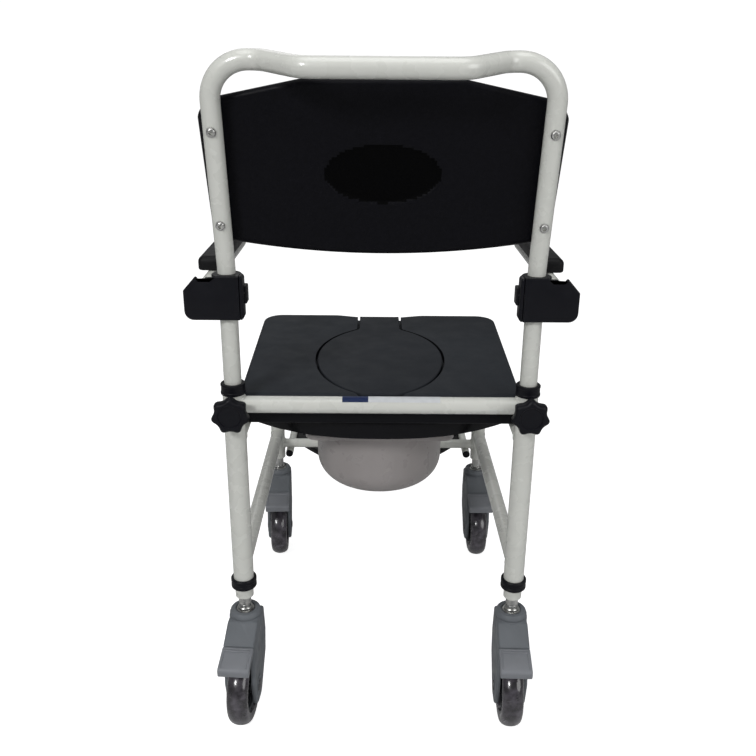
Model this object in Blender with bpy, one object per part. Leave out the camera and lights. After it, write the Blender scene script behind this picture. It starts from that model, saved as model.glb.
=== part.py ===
"""Mobile shower commode chair.

White tubular frame on four braked casters, lift-out back frame with a moulded backrest, flip-up
armrests, moulded seat with a drop-in lid, a pan that slides out to the rear and a slide-under
footplate.  Metres, +Z up.  The chair faces -Y, and +X is the sitter's left.  The origin is on the
floor, below the middle of the chair.
"""

import math

import bmesh
import bpy
from mathutils import Matrix, Vector

GAP = 0.0003

# Frame
POST_SPACING = 0.430
POST_X = POST_SPACING / 2
POST_Y = 0.3056
WHEELBASE = 0.505
FRONT_Y = POST_Y - WHEELBASE
POST_R = 0.0159
LEG_R = 0.0143
BACK_R = 0.0127
CROSS_R = 0.0127
FRONT_BAR_R = 0.0095
WALL = 0.0015
LEG_BOTTOM = 0.2095
STEP_Z = 0.2360
POST_TOP = 0.5575
REAR_BAR_Z = 0.5400
SEAT_RAIL_Z = 0.4875
LOWER_RAIL_Z = 0.2670
FRONT_BAR_Z = 0.2420
FRONT_BEND = 0.060
KNOB_Z = 0.5370

# Back frame and backrest
SOCKET_Z = 0.4600
RAKE_Z = 0.7440
RAKE = math.radians(12.0)
HANDLE_Z = 1.0130
HANDLE_DROP = 0.0080
HANDLE_BOW = 0.0580
BACK_HALF_WIDTH = 0.2393
BACK_TOP = 0.9925
BACK_BOTTOM = 0.7640
BACK_THICKNESS = 0.0260
SCREW_HEIGHTS = (0.8088, 0.9298)

# Armrests
ARM_X = 0.2565
ARM_Z = 0.7030
ARM_R = 0.0110
ARM_PIVOT_Y = POST_Y - 0.0120
ARM_FRONT_Y = POST_Y - 0.3850
PAD_X = 0.2590
PAD_WIDTH = 0.0370
PAD_THICKNESS = 0.0220
PAD_REAR_Y = POST_Y - 0.1050
PAD_LENGTH = 0.2750
BRACKET_BOTTOM = 0.6740
BRACKET_TOP = 0.7368
BRACKET_BACK_Y = POST_Y + 0.0215
ARM_PIN_R = 0.0040

# Seat, lid, pan carrier and pan
SEAT_TOP = 0.5500
SEAT_BOTTOM = SEAT_RAIL_Z + LEG_R + 0.0004
SEAT_REAR_Y = POST_Y - 0.0165
SEAT_DEPTH = 0.4230
SEAT_REAR_HALF = 0.2105
SEAT_FRONT_HALF = 0.2225
LID_THICKNESS = 0.0120
LID_SLIT = 0.0015
LID_LENGTH = 0.4065
OVAL_Y = POST_Y - 0.1905
OVAL_A = 0.1040
OVAL_B = 0.1540
HOLE_MARGIN = 0.0130
CARRIER_BOTTOM = 0.4716
CARRIER_HALF = 0.1985
PAN_Y = POST_Y - 0.1900
PAN_R = 0.1080
PAN_RIM_Z = 0.4585
PAN_BOTTOM = 0.3350
PAN_WALL = 0.0025
FLANGE_HALF = 0.1190
FLANGE_THICKNESS = 0.0100

# Footrest
FOOT_HALF = 0.1980
FOOT_TOP = 0.2160
FOOT_THICKNESS = 0.0120
FOOT_REAR_Y = POST_Y - 0.4530
FOOT_FRONT_Y = POST_Y - 0.7391
SLIDE_X = 0.1900
SLIDE_R = 0.0078
SLIDE_Z = FOOT_TOP + GAP + SLIDE_R
SLIDE_REAR_Y = FRONT_Y + 0.0150

# Casters
WHEEL_R = 0.0625
WHEEL_WIDTH = 0.0340
TREAD_DEPTH = 0.0120
HUB_R = 0.0420
TRAIL = 0.0360
AXLE_R = 0.0060
HOUSING_TOP = 0.1856
HOUSING_HALF = 0.0245
CAVITY_HALF = 0.0185
STEM_R = 0.0098
PEDAL_HINGE = Vector((0.0, 0.0622, 0.1515))
CASTERS = {
    "rear_l": (POST_X, POST_Y, 4.0),
    "rear_r": (-POST_X, POST_Y, 2.0),
    "front_l": (POST_X, FRONT_Y, -3.0),
    "front_r": (-POST_X, FRONT_Y, -1.0),
}

SIDES = {"l": 1.0, "r": -1.0}
TUBE_SEGMENTS = 14
ARC_STEP = math.radians(20)
X_AXIS = Vector((1.0, 0.0, 0.0))
Y_AXIS = Vector((0.0, 1.0, 0.0))
Z_AXIS = Vector((0.0, 0.0, 1.0))


# ---------------------------------------------------------------- materials and mesh helpers

def make_material(name, colour, roughness, metallic=0.0):
    material = bpy.data.materials.new(name)
    material.use_nodes = True
    shader = material.node_tree.nodes["Principled BSDF"]
    shader.inputs["Base Color"].default_value = (*colour, 1.0)
    shader.inputs["Roughness"].default_value = roughness
    shader.inputs["Metallic"].default_value = metallic
    return material


FINISHES = {
    "powder_coat": ((0.72, 0.73, 0.69), 0.35, 0.0),
    "black_moulding": ((0.020, 0.020, 0.023), 0.45, 0.0),
    "backrest_skin": ((0.012, 0.012, 0.014), 0.55, 0.0),
    "seat_skin": ((0.030, 0.034, 0.040), 0.60, 0.0),
    "pan_plastic": ((0.27, 0.25, 0.24), 0.35, 0.0),
    "caster_grey": ((0.15, 0.17, 0.18), 0.50, 0.0),
    "tyre_rubber": ((0.055, 0.050, 0.062), 0.25, 0.0),
    "hub_grey": ((0.12, 0.13, 0.14), 0.45, 0.0),
    "steel": ((0.62, 0.62, 0.62), 0.30, 1.0),
}


def add_object(name, mesh, finish, origin=Vector((0.0, 0.0, 0.0)), parent=None):
    """Place a mesh whose vertices are already relative to the given origin."""
    obj = bpy.data.objects.new(name, mesh)
    bpy.context.collection.objects.link(obj)
    obj.location = origin
    if parent is not None:
        obj.parent = parent
    if not mesh.materials:
        mesh.materials.append(make_material(f"{finish}_{name}", *FINISHES[finish]))
    mesh.shade_smooth()
    mesh.set_sharp_from_angle(angle=math.radians(35))
    return obj


def close_mesh(name, bm):
    bmesh.ops.remove_doubles(bm, verts=bm.verts, dist=1e-7)
    bmesh.ops.recalc_face_normals(bm, faces=bm.faces)
    mesh = bpy.data.meshes.new(name)
    bm.to_mesh(mesh)
    bm.free()
    return mesh


def bridge(bm, ring_a, ring_b):
    """Join two closed rings that have the same number of vertices."""
    for i in range(len(ring_a)):
        j = (i + 1) % len(ring_a)
        bm.faces.new((ring_a[i], ring_a[j], ring_b[j], ring_b[i]))


def frames_along(path):
    """Parallel-transported pairs of normals for a polyline, mitred at its corners."""
    points = [Vector(p) for p in path]
    tangents = []
    for i, point in enumerate(points):
        before = (point - points[i - 1]).normalized() if i else None
        after = (points[i + 1] - point).normalized() if i + 1 < len(points) else None
        tangents.append(((before or after) + (after or before)).normalized())
    helper = Y_AXIS if abs(tangents[0].y) < 0.9 else Z_AXIS
    side = tangents[0].cross(helper).normalized()
    frames = []
    for i, tangent in enumerate(tangents):
        if i:
            side = (side - tangent * side.dot(tangent)).normalized()
        frames.append((points[i], side, tangent.cross(side)))
    return frames


def tube_mesh(name, path, radius, bore=0.0, segments=TUBE_SEGMENTS):
    """A round bar, or a pipe when it has a bore, swept along a path."""
    bm = bmesh.new()
    skins = [radius, bore] if bore else [radius]
    rings = {r: [] for r in skins}
    for centre, side, up in frames_along(path):
        for r in skins:
            ring = []
            for i in range(segments):
                angle = 2 * math.pi * i / segments
                ring.append(bm.verts.new(centre + r * (math.cos(angle) * side + math.sin(angle) * up)))
            rings[r].append(ring)
    for r in skins:
        for ring_a, ring_b in zip(rings[r], rings[r][1:]):
            bridge(bm, ring_a, ring_b)
    for end in (0, -1):
        if bore:
            bridge(bm, rings[radius][end], rings[bore][end])
        else:
            bm.faces.new(rings[radius][end])
    return close_mesh(name, bm)


def fillet(points, radii):
    """Replace each inner corner of a polyline by an arc of the given radius."""
    points = [Vector(p) for p in points]
    path = [points[0]]
    for before, corner, after, radius in zip(points, points[1:], points[2:], radii):
        into = (corner - before).normalized()
        out = (after - corner).normalized()
        turn = into.angle(out)
        reach = radius * math.tan(turn / 2)
        start = corner - into * reach
        centre = start + (out - into * out.dot(into)).normalized() * radius
        axis = into.cross(out).normalized()
        steps = max(2, math.ceil(turn / ARC_STEP))
        for i in range(steps + 1):
            path.append(centre + Matrix.Rotation(turn * i / steps, 3, axis) @ (start - centre))
    path.append(points[-1])
    return path


def turned_mesh(name, profile, axis=Z_AXIS, centre=Vector((0.0, 0.0, 0.0)), segments=20, closed=True):
    """Turn (radius, height) points about an axis; an open profile ends on the axis."""
    bm = bmesh.new()
    points = [bm.verts.new((radius, 0.0, height)) for radius, height in profile]
    edges = [bm.edges.new(pair) for pair in zip(points, points[1:])]
    if closed:
        edges.append(bm.edges.new((points[-1], points[0])))
    bmesh.ops.spin(bm, geom=points + edges, axis=Z_AXIS, angle=2 * math.pi, steps=segments, use_merge=True)
    bmesh.ops.remove_doubles(bm, verts=bm.verts, dist=1e-6)
    turn = axis.to_track_quat("Z", "Y").to_matrix().to_4x4()
    bmesh.ops.transform(bm, matrix=Matrix.Translation(centre) @ turn, verts=bm.verts)
    return close_mesh(name, bm)


def prism_mesh(name, outline, low, high, place):
    """Extrude a flat outline from low to high; place(a, b, height) gives each point."""
    bm = bmesh.new()
    base = bm.faces.new([bm.verts.new(place(a, b, low)) for a, b in outline])
    made = bmesh.ops.extrude_face_region(bm, geom=[base])["geom"]
    top = [element for element in made if isinstance(element, bmesh.types.BMVert)]
    a, b = outline[0]
    bmesh.ops.translate(bm, verts=top, vec=place(a, b, high) - place(a, b, low))
    return close_mesh(name, bm)


def flat(a, b, height):
    return Vector((a, b, height))


def upright(a, b, depth):
    """Outline in x and z, extruded along y."""
    return Vector((a, depth, b))


def sideways(a, b, width):
    """Outline in y and z, extruded along x."""
    return Vector((width, a, b))


def box_mesh(name, low, high):
    outline = [(low[0], low[1]), (high[0], low[1]), (high[0], high[1]), (low[0], high[1])]
    return prism_mesh(name, outline, low[2], high[2], flat)


def rounded(corners, steps=5):
    """A closed outline from (a, b, corner radius) points."""
    outline = []
    count = len(corners)
    for i, (a, b, radius) in enumerate(corners):
        corner = Vector((a, b))
        if radius == 0:
            outline.append((a, b))
            continue
        into = (corner - Vector(corners[i - 1][:2])).normalized()
        out = (Vector(corners[(i + 1) % count][:2]) - corner).normalized()
        turn = into.angle_signed(out) * -1
        reach = radius * math.tan(abs(turn) / 2)
        start = corner - into * reach
        centre = start + Vector((-into.y, into.x)) * math.copysign(radius, turn)
        for k in range(steps + 1):
            arm = start - centre
            arm.rotate(Matrix.Rotation(turn * k / steps, 2))
            outline.append(tuple(centre + arm))
    return outline


def ellipse(a, b, centre_a, centre_b, segments=32):
    angles = [2 * math.pi * i / segments for i in range(segments)]
    return [(centre_a + a * math.cos(t), centre_b + b * math.sin(t)) for t in angles]


def combine(obj, *steps):
    """Apply Boolean steps, each an (operation, mesh) pair, to an object."""
    for operation, mesh in steps:
        tool = bpy.data.objects.new(f"tool_{obj.name}", mesh)
        bpy.context.collection.objects.link(tool)
        tool.matrix_world = obj.matrix_world
        tool.hide_render = True
        tool.display_type = "WIRE"
        modifier = obj.modifiers.new(operation.title(), "BOOLEAN")
        modifier.operation = operation
        modifier.solver = "EXACT"
        modifier.object = tool
        bpy.context.view_layer.update()
        graph = bpy.context.evaluated_depsgraph_get()
        result = bpy.data.meshes.new_from_object(obj.evaluated_get(graph))
        obj.modifiers.clear()
        obj.data = result
        bpy.data.objects.remove(tool)
    obj.data.shade_smooth()
    obj.data.set_sharp_from_angle(angle=math.radians(35))
    return obj


def bar_mesh(name, start, end, radius, bore=0.0, segments=TUBE_SEGMENTS):
    return tube_mesh(name, [start, end], radius, bore, segments)


# ---------------------------------------------------------------- lower frame

def back_line_y(z):
    """Depth of the back frame's centre line at a height."""
    return POST_Y + max(0.0, z - RAKE_Z) * math.tan(RAKE)


def post_cutter(x, y, radius):
    return bar_mesh("cope", (x, y, 0.15), (x, y, 0.62), radius + GAP, segments=24)


def build_rear_leg(tag, side):
    """Stepped tube: wide socket above, thinner leg below the collar, knob boss at the back."""
    profile = [(LEG_R, LEG_BOTTOM), (LEG_R, STEP_Z), (POST_R, STEP_Z), (POST_R, POST_TOP)]
    profile += [(POST_R - WALL, POST_TOP), (POST_R - WALL, 0.25), (LEG_R - WALL, 0.25), (LEG_R - WALL, LEG_BOTTOM)]
    centre = Vector((side * POST_X, POST_Y, 0.0))
    leg = add_object(f"rear_leg_{tag}", turned_mesh("leg", profile, centre=centre), "powder_coat")
    inner = (centre.x, POST_Y + POST_R - WALL / 2, KNOB_Z)
    outer = (centre.x, POST_Y + 0.0215, KNOB_Z)
    beyond = (centre.x, POST_Y + 0.0300, KNOB_Z)
    axis_point = (centre.x, POST_Y + 0.0100, KNOB_Z)
    combine(
        leg,
        ("UNION", bar_mesh("boss", inner, outer, 0.0085)),
        ("DIFFERENCE", bar_mesh("bore", axis_point, beyond, 0.0044)),
    )


def build_side_frame(tag, side):
    """Seat rail that bends down at the front to become the front leg."""
    x = side * POST_X
    corners = [(x, POST_Y - POST_R + 0.004, SEAT_RAIL_Z), (x, FRONT_Y, SEAT_RAIL_Z), (x, FRONT_Y, LEG_BOTTOM)]
    mesh = tube_mesh("rail", fillet(corners, [FRONT_BEND]), LEG_R, LEG_R - WALL)
    rail = add_object(f"side_frame_{tag}", mesh, "powder_coat")
    combine(rail, ("DIFFERENCE", post_cutter(x, POST_Y, POST_R)))


def build_lower_rail(tag, side):
    x = side * POST_X
    start = (x, POST_Y - POST_R + 0.004, LOWER_RAIL_Z)
    end = (x, FRONT_Y + LEG_R - 0.004, LOWER_RAIL_Z)
    mesh = bar_mesh("lower", start, end, CROSS_R, CROSS_R - WALL)
    rail = add_object(f"lower_rail_{tag}", mesh, "powder_coat")
    combine(
        rail,
        ("DIFFERENCE", post_cutter(x, POST_Y, POST_R)),
        ("DIFFERENCE", post_cutter(x, FRONT_Y, LEG_R)),
    )


def build_crossbar(name, y, z, radius, end_radius):
    reach = POST_X - end_radius + 0.004
    mesh = bar_mesh(name, (-reach, y, z), (reach, y, z), radius, radius - WALL)
    bar = add_object(name, mesh, "powder_coat")
    for side in SIDES.values():
        combine(bar, ("DIFFERENCE", post_cutter(side * POST_X, y, end_radius)))


def build_post_bush(tag, side):
    """Flanged bush that closes the gap between the socket and the back frame."""
    inner = BACK_R + GAP
    sleeve = POST_R - WALL - GAP
    low = POST_TOP - 0.030
    profile = [(inner, low), (sleeve, low), (sleeve, POST_TOP + GAP), (0.0175, POST_TOP + GAP)]
    top = POST_TOP + 0.0170
    profile += [(0.0180, POST_TOP + 0.0020), (0.0176, top - 0.0010), (0.0170, top), (inner, top)]
    mesh = turned_mesh("bush", profile, centre=Vector((side * POST_X, POST_Y, 0.0)))
    bush = add_object(f"post_bush_{tag}", mesh, "black_moulding")
    start = (side * POST_X, POST_Y + 0.005, KNOB_Z)
    end = (side * POST_X, POST_Y + 0.025, KNOB_Z)
    combine(bush, ("DIFFERENCE", bar_mesh("window", start, end, 0.0060)))


def build_leg_collar(tag, side):
    """Ring over the step where the wide tube ends."""
    low = STEP_Z - 0.0080
    high = STEP_Z + 0.0085
    profile = [(LEG_R + GAP, low), (0.0194, low), (0.0200, low + 0.002), (0.0200, high - 0.002), (0.0194, high)]
    profile += [(POST_R + GAP, high), (POST_R + GAP, STEP_Z - GAP), (LEG_R + GAP, STEP_Z - GAP)]
    mesh = turned_mesh("collar", profile, centre=Vector((side * POST_X, POST_Y, 0.0)))
    add_object(f"leg_collar_{tag}", mesh, "black_moulding")


def build_star_knob(tag, side):
    """Seven-lobed clamping knob on a stud, with a dished face to the rear."""
    segments = 28
    lobes = 7
    back = 0.0226
    face = back + 0.0210
    bm = bmesh.new()

    def ring(y, radius, depth=0.0):
        made = []
        for i in range(segments):
            angle = 2 * math.pi * i / segments
            r = radius + depth * math.cos(lobes * angle)
            made.append(bm.verts.new((r * math.sin(angle), y, r * math.cos(angle))))
        return made

    rings = [ring(BACK_R + GAP, 0.0040), ring(back, 0.0040), ring(back, 0.0105), ring(back + 0.0030, 0.0115)]
    rings += [ring(back + 0.0040, 0.0215, 0.0015), ring(back + 0.0080, 0.0245, 0.0021)]
    rings += [ring(face - 0.0040, 0.0245, 0.0021), ring(face - 0.0008, 0.0222, 0.0014), ring(face, 0.0195)]
    rings += [ring(face, 0.0165), ring(face - 0.0016, 0.0150)]
    for ring_a, ring_b in zip(rings, rings[1:]):
        bridge(bm, ring_a, ring_b)
    bm.faces.new(rings[0])
    bm.faces.new(rings[-1])
    origin = Vector((side * POST_X, POST_Y, KNOB_Z))
    add_object(f"star_knob_{tag}", close_mesh("knob", bm), "black_moulding", origin)


# ---------------------------------------------------------------- back frame and backrest

def screw_frame(side, height):
    """Centre of the tube at a screw, and the direction out of its rear face."""
    centre = Vector((side * POST_X, back_line_y(height), height))
    return centre, Vector((0.0, math.cos(RAKE), -math.sin(RAKE)))


def build_back_frame(parent):
    """One bent tube: two raked uprights joined by a push handle that bows to the rear."""
    top_y = back_line_y(HANDLE_Z)
    half = [(POST_X, POST_Y, SOCKET_Z), (POST_X, POST_Y, RAKE_Z), (POST_X, top_y, HANDLE_Z)]
    half += [(0.150, top_y, HANDLE_Z), (0.098, top_y + HANDLE_BOW, HANDLE_Z - HANDLE_DROP)]
    mirrored = [(-x, y, z) for x, y, z in reversed(half)]
    radii = [0.055, 0.050, 0.030, 0.030]
    path = fillet(half + mirrored, radii + radii[::-1])
    frame = add_object("back_frame", tube_mesh("back", path, BACK_R, BACK_R - WALL), "powder_coat", parent=parent)
    for side in SIDES.values():
        for height in SCREW_HEIGHTS:
            centre, out = screw_frame(side, height)
            hole = bar_mesh("hole", centre - out * 0.02, centre + out * 0.02, 0.0028, segments=12)
            combine(frame, ("DIFFERENCE", hole))


def backrest_edges(x):
    """Bottom and top heights of the backrest at a distance from its middle."""
    across = abs(x)
    top = BACK_TOP
    if across > 0.118:
        top -= 0.0215 * (across - 0.118) / 0.087
    bottom = BACK_BOTTOM + 0.0150 * (across / 0.2100) ** 2
    corner = max(0.0, across - (BACK_HALF_WIDTH - 0.034)) / 0.034
    bulge = 1.0 - math.sqrt(max(0.0, 1.0 - corner ** 2))
    return bottom + 0.024 * bulge, top - 0.032 * bulge


def backrest_surface(x, z, layer):
    """Depth of the rear (0) and front (1) skin: crowned between the posts, wrapped forward outside."""
    across = abs(x)
    touch = POST_X - BACK_R
    back = back_line_y(z) - BACK_R / math.cos(RAKE) - 2 * GAP
    if across < touch:
        back += 0.0100 * (1.0 - (across / touch) ** 2)
    else:
        back -= 0.45 * (across - POST_X) if across > POST_X else 0.0
    thickness = BACK_THICKNESS - 0.0080 * (across / BACK_HALF_WIDTH) ** 2
    return back - layer * thickness


def build_backrest(parent):
    columns = 30
    bm = bmesh.new()
    rings = []
    for i in range(columns + 1):
        u = -BACK_HALF_WIDTH + 2 * BACK_HALF_WIDTH * i / columns
        low, high = backrest_edges(u)
        ring = []
        for z, layer in ((low, 0), (high, 0), (high, 1), (low, 1)):
            x = u * (1.0 - 0.16 * max(0.0, 0.95 - z))
            ring.append(bm.verts.new((x, backrest_surface(x, z, layer), z)))
        rings.append(ring)
    for ring_a, ring_b in zip(rings, rings[1:]):
        bridge(bm, ring_a, ring_b)
    bm.faces.new(rings[0])
    bm.faces.new(rings[-1])
    backrest = add_object("backrest", close_mesh("backrest", bm), "backrest_skin", parent=parent)
    middle = 0.8745
    face_y = backrest_surface(0.0, middle, 0)
    out = Vector((0.0, math.cos(RAKE), -math.sin(RAKE)))
    along = Vector((0.0, math.sin(RAKE), math.cos(RAKE)))
    recess_centre = Vector((0.0, face_y, middle))

    def on_face(a, b, depth):
        return recess_centre + X_AXIS * a + along * b + out * depth

    recess = prism_mesh("recess", ellipse(0.0770, 0.0400, 0.0, 0.0), -0.0030, 0.0200, on_face)
    combine(backrest, ("DIFFERENCE", recess))
    for side in SIDES.values():
        for height in SCREW_HEIGHTS:
            centre, normal = screw_frame(side, height)
            hole = bar_mesh("pilot", centre - normal * 0.0260, centre, 0.0028, segments=12)
            combine(backrest, ("DIFFERENCE", hole))


def build_back_screws(parent):
    """Button-head screws with a hexagon socket, through each upright into the backrest."""
    for tag, side in SIDES.items():
        for label, height in zip(("low", "high"), SCREW_HEIGHTS):
            centre, out = screw_frame(side, height)
            seat = BACK_R + GAP
            profile = [(0.0, -0.0255), (0.0025, -0.0255), (0.0025, seat), (0.0060, seat)]
            profile += [(0.0058, seat + 0.0012), (0.0040, seat + 0.0027), (0.0021, seat + 0.0030)]
            profile += [(0.0021, seat + 0.0010), (0.0, seat + 0.0010)]
            mesh = turned_mesh("screw", profile, out, segments=12, closed=False)
            add_object(f"back_screw_{label}_{tag}", mesh, "steel", centre, parent)


# ---------------------------------------------------------------- armrests

def build_arm_bracket(tag, side, parent):
    """Clamp round the post with an open trough outboard that holds the armrest tube."""
    x_post = POST_X
    outer = 0.2730
    face = [(0.1905, BRACKET_BOTTOM, 0.006), (outer, BRACKET_BOTTOM, 0.013), (outer, 0.7160, 0.003)]
    face += [(0.2545, BRACKET_TOP, 0.002), (0.2500, 0.7310, 0.001), (0.2361, 0.7310, 0.002)]
    face += [(0.2290, BRACKET_TOP, 0.002), (0.1905, BRACKET_TOP, 0.005)]
    plate = [(side * a, b) for a, b in rounded(face, steps=3)]
    mesh = prism_mesh("plate", plate, BRACKET_BACK_Y - 0.0200, BRACKET_BACK_Y, upright)
    bracket = add_object(f"arm_bracket_{tag}", mesh, "black_moulding", parent=parent)

    def sided_box(x0, x1, y0, y1, z0, z1):
        low, high = sorted((side * x0, side * x1))
        return box_mesh("block", (low, y0, z0), (high, y1, z1))

    hub_low = (side * x_post, POST_Y, BRACKET_BOTTOM)
    hub_high = (side * x_post, POST_Y, BRACKET_TOP - 0.0010)
    bore_low = (side * x_post, POST_Y, BRACKET_BOTTOM - 0.01)
    bore_high = (side * x_post, POST_Y, BRACKET_TOP + 0.01)
    trough_back = BRACKET_BACK_Y - 0.0035
    front = POST_Y - 0.0300
    pin_low = (side * 0.2200, ARM_PIVOT_Y, ARM_Z)
    pin_high = (side * 0.2900, ARM_PIVOT_Y, ARM_Z)
    combine(
        bracket,
        ("UNION", bar_mesh("hub", hub_low, hub_high, 0.0210, segments=28)),
        ("UNION", sided_box(0.2250, outer, front, POST_Y + 0.0100, BRACKET_BOTTOM + 0.0004, 0.7158)),
        ("UNION", sided_box(0.1870, 0.2000, POST_Y - 0.0095, POST_Y + 0.0105, 0.6980, 0.7235)),
        ("DIFFERENCE", sided_box(0.2440, 0.2690, front - 0.01, trough_back, 0.6838, 0.76)),
        ("UNION", sided_box(0.2435, 0.2695, front, front + 0.0060, 0.6800, ARM_Z - ARM_R - 0.0004)),
        ("DIFFERENCE", bar_mesh("bore", bore_low, bore_high, BACK_R + GAP, segments=TUBE_SEGMENTS * 2)),
        ("DIFFERENCE", bar_mesh("pin_hole", pin_low, pin_high, ARM_PIN_R + GAP, segments=TUBE_SEGMENTS)),
    )


def build_arm(tag, side, parent):
    """Armrest tube, pad and pivot pin; the tube's origin lies on the pivot."""
    pivot = Vector((side * ARM_X, ARM_PIVOT_Y, ARM_Z))
    start = (0.0, 0.0110, 0.0)
    end = (0.0, ARM_FRONT_Y - ARM_PIVOT_Y, 0.0)
    tube = add_object(f"arm_tube_{tag}", tube_mesh("arm", [start, end], ARM_R, ARM_R - WALL), "powder_coat", pivot, parent)
    bpy.context.view_layer.update()
    reach = 0.0300
    pin_clear = bar_mesh("pin_hole", (-reach, 0.0, 0.0), (reach, 0.0, 0.0), ARM_PIN_R + GAP)
    combine(tube, ("DIFFERENCE", pin_clear))

    half = PAD_WIDTH / 2
    low = ARM_R + GAP
    high = low + PAD_THICKNESS
    section = rounded([(-half, low, 0.004), (half, low, 0.004), (half, high, 0.008), (-half, high, 0.008)], steps=2)
    shift = side * (PAD_X - ARM_X)
    rear = PAD_REAR_Y - ARM_PIVOT_Y

    def in_pad(a, b, depth):
        return Vector((a + shift, depth, b))

    pad_mesh = prism_mesh("pad", section, rear - PAD_LENGTH, rear, in_pad)
    add_object(f"arm_pad_{tag}", pad_mesh, "black_moulding", parent=tube)

    inner = 0.2345 - ARM_X
    outer = 0.2742 - ARM_X
    pin = bar_mesh("pin", (side * inner, 0.0, 0.0), (side * outer, 0.0, 0.0), ARM_PIN_R)
    add_object(f"arm_pin_{tag}", pin, "steel", pivot, parent)


# ---------------------------------------------------------------- seat, lid, pan

def seat_outline():
    front = SEAT_REAR_Y - SEAT_DEPTH
    corners = [(SEAT_FRONT_HALF, front, 0.036), (SEAT_REAR_HALF, SEAT_REAR_Y, 0.014)]
    corners += [(-SEAT_REAR_HALF, SEAT_REAR_Y, 0.014), (-SEAT_FRONT_HALF, front, 0.036)]
    return rounded(corners)


def lid_half_width(y):
    """Half width of the lid: oval middle, waisted neck to the rear, narrow tab to the front."""
    inside = 1.0 - ((y - OVAL_Y) / OVAL_B) ** 2
    oval = OVAL_A * math.sqrt(inside) if inside > 0 else 0.0
    rear = SEAT_REAR_Y - y
    neck = 0.0290 + 0.0350 * min(1.0, max(0.0, rear - 0.010) / 0.035) ** 2 if rear < 0.055 else 0.0
    tab = 0.0385 if y < OVAL_Y - 0.120 else 0.0
    return max(oval, neck, tab)


def lid_outline(grow=0.0, overrun=0.0):
    """Closed outline of the lid; the recess for it is wider and runs out at both ends."""
    steps = 44
    rear = SEAT_REAR_Y - 0.0010
    stations = [rear - LID_LENGTH * (0.5 - 0.5 * math.cos(math.pi * i / steps)) for i in range(steps + 1)]
    widths = [lid_half_width(y) + grow for y in stations]
    stations[0] += overrun
    stations[-1] -= overrun
    right = list(zip(widths, stations))
    left = [(-x, y) for x, y in reversed(right)]
    return right + left


def build_seat():
    mesh = prism_mesh("seat", seat_outline(), SEAT_BOTTOM, SEAT_TOP, flat)
    seat = add_object("seat", mesh, "seat_skin")
    ledge = SEAT_TOP - LID_THICKNESS - GAP
    recess = prism_mesh("recess", lid_outline(LID_SLIT, 0.030), ledge, SEAT_TOP + 0.01, flat)
    hole_outline = ellipse(OVAL_A - HOLE_MARGIN, OVAL_B - HOLE_MARGIN, 0.0, OVAL_Y, 40)
    hole = prism_mesh("aperture", hole_outline, SEAT_BOTTOM - 0.01, SEAT_TOP, flat)
    combine(seat, ("DIFFERENCE", recess), ("DIFFERENCE", hole))

    lid_mesh = prism_mesh("lid", lid_outline(), SEAT_TOP - LID_THICKNESS, SEAT_TOP + 0.0005, flat)
    add_object("seat_lid", lid_mesh, "seat_skin")


def carrier_outline(inset=0.0):
    """Tray outline: rear edge bowed to the rear in the middle, straight sides and front."""
    half = CARRIER_HALF - inset
    rear_middle = POST_Y - 0.0290 - inset
    front = SEAT_REAR_Y - SEAT_DEPTH + 0.0300 + inset
    steps = 16
    outline = [(half, front)]
    for i in range(steps + 1):
        x = half * (1.0 - 2.0 * i / steps)
        bow = 0.0560 * (abs(x) / 0.187) ** 2.4
        outline.append((x, rear_middle - bow))
    outline.append((-half, front))
    return outline


def build_pan_carrier():
    """Moulded tray under the seat: skirt, web with the aperture, and two runners for the pan."""
    top = SEAT_BOTTOM - GAP
    web = top - 0.0040
    mesh = prism_mesh("carrier", carrier_outline(), CARRIER_BOTTOM, top, flat)
    carrier = add_object("pan_carrier", mesh, "black_moulding")
    hollow = prism_mesh("hollow", carrier_outline(0.0040), CARRIER_BOTTOM - 0.01, web, flat)
    hole_outline = ellipse(OVAL_A - HOLE_MARGIN, OVAL_B - HOLE_MARGIN, 0.0, OVAL_Y, 40)
    hole = prism_mesh("aperture", hole_outline, web - 0.01, top + 0.01, flat)
    combine(carrier, ("DIFFERENCE", hollow), ("DIFFERENCE", hole))
    low = PAN_RIM_Z - FLANGE_THICKNESS - GAP - 0.0030
    for side in SIDES.values():
        wall = [(0.1197, low), (0.1240, low), (0.1240, web + 0.002), (0.1197, web + 0.002)]
        lip = [(0.1130, low), (0.1210, low), (0.1210, low + 0.0030), (0.1130, low + 0.0030)]
        for section in (wall, lip):
            outline = [(side * a, b) for a, b in section]
            runner = prism_mesh("runner", outline, POST_Y - 0.3150, POST_Y - 0.1000, upright)
            combine(carrier, ("UNION", runner))


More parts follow.
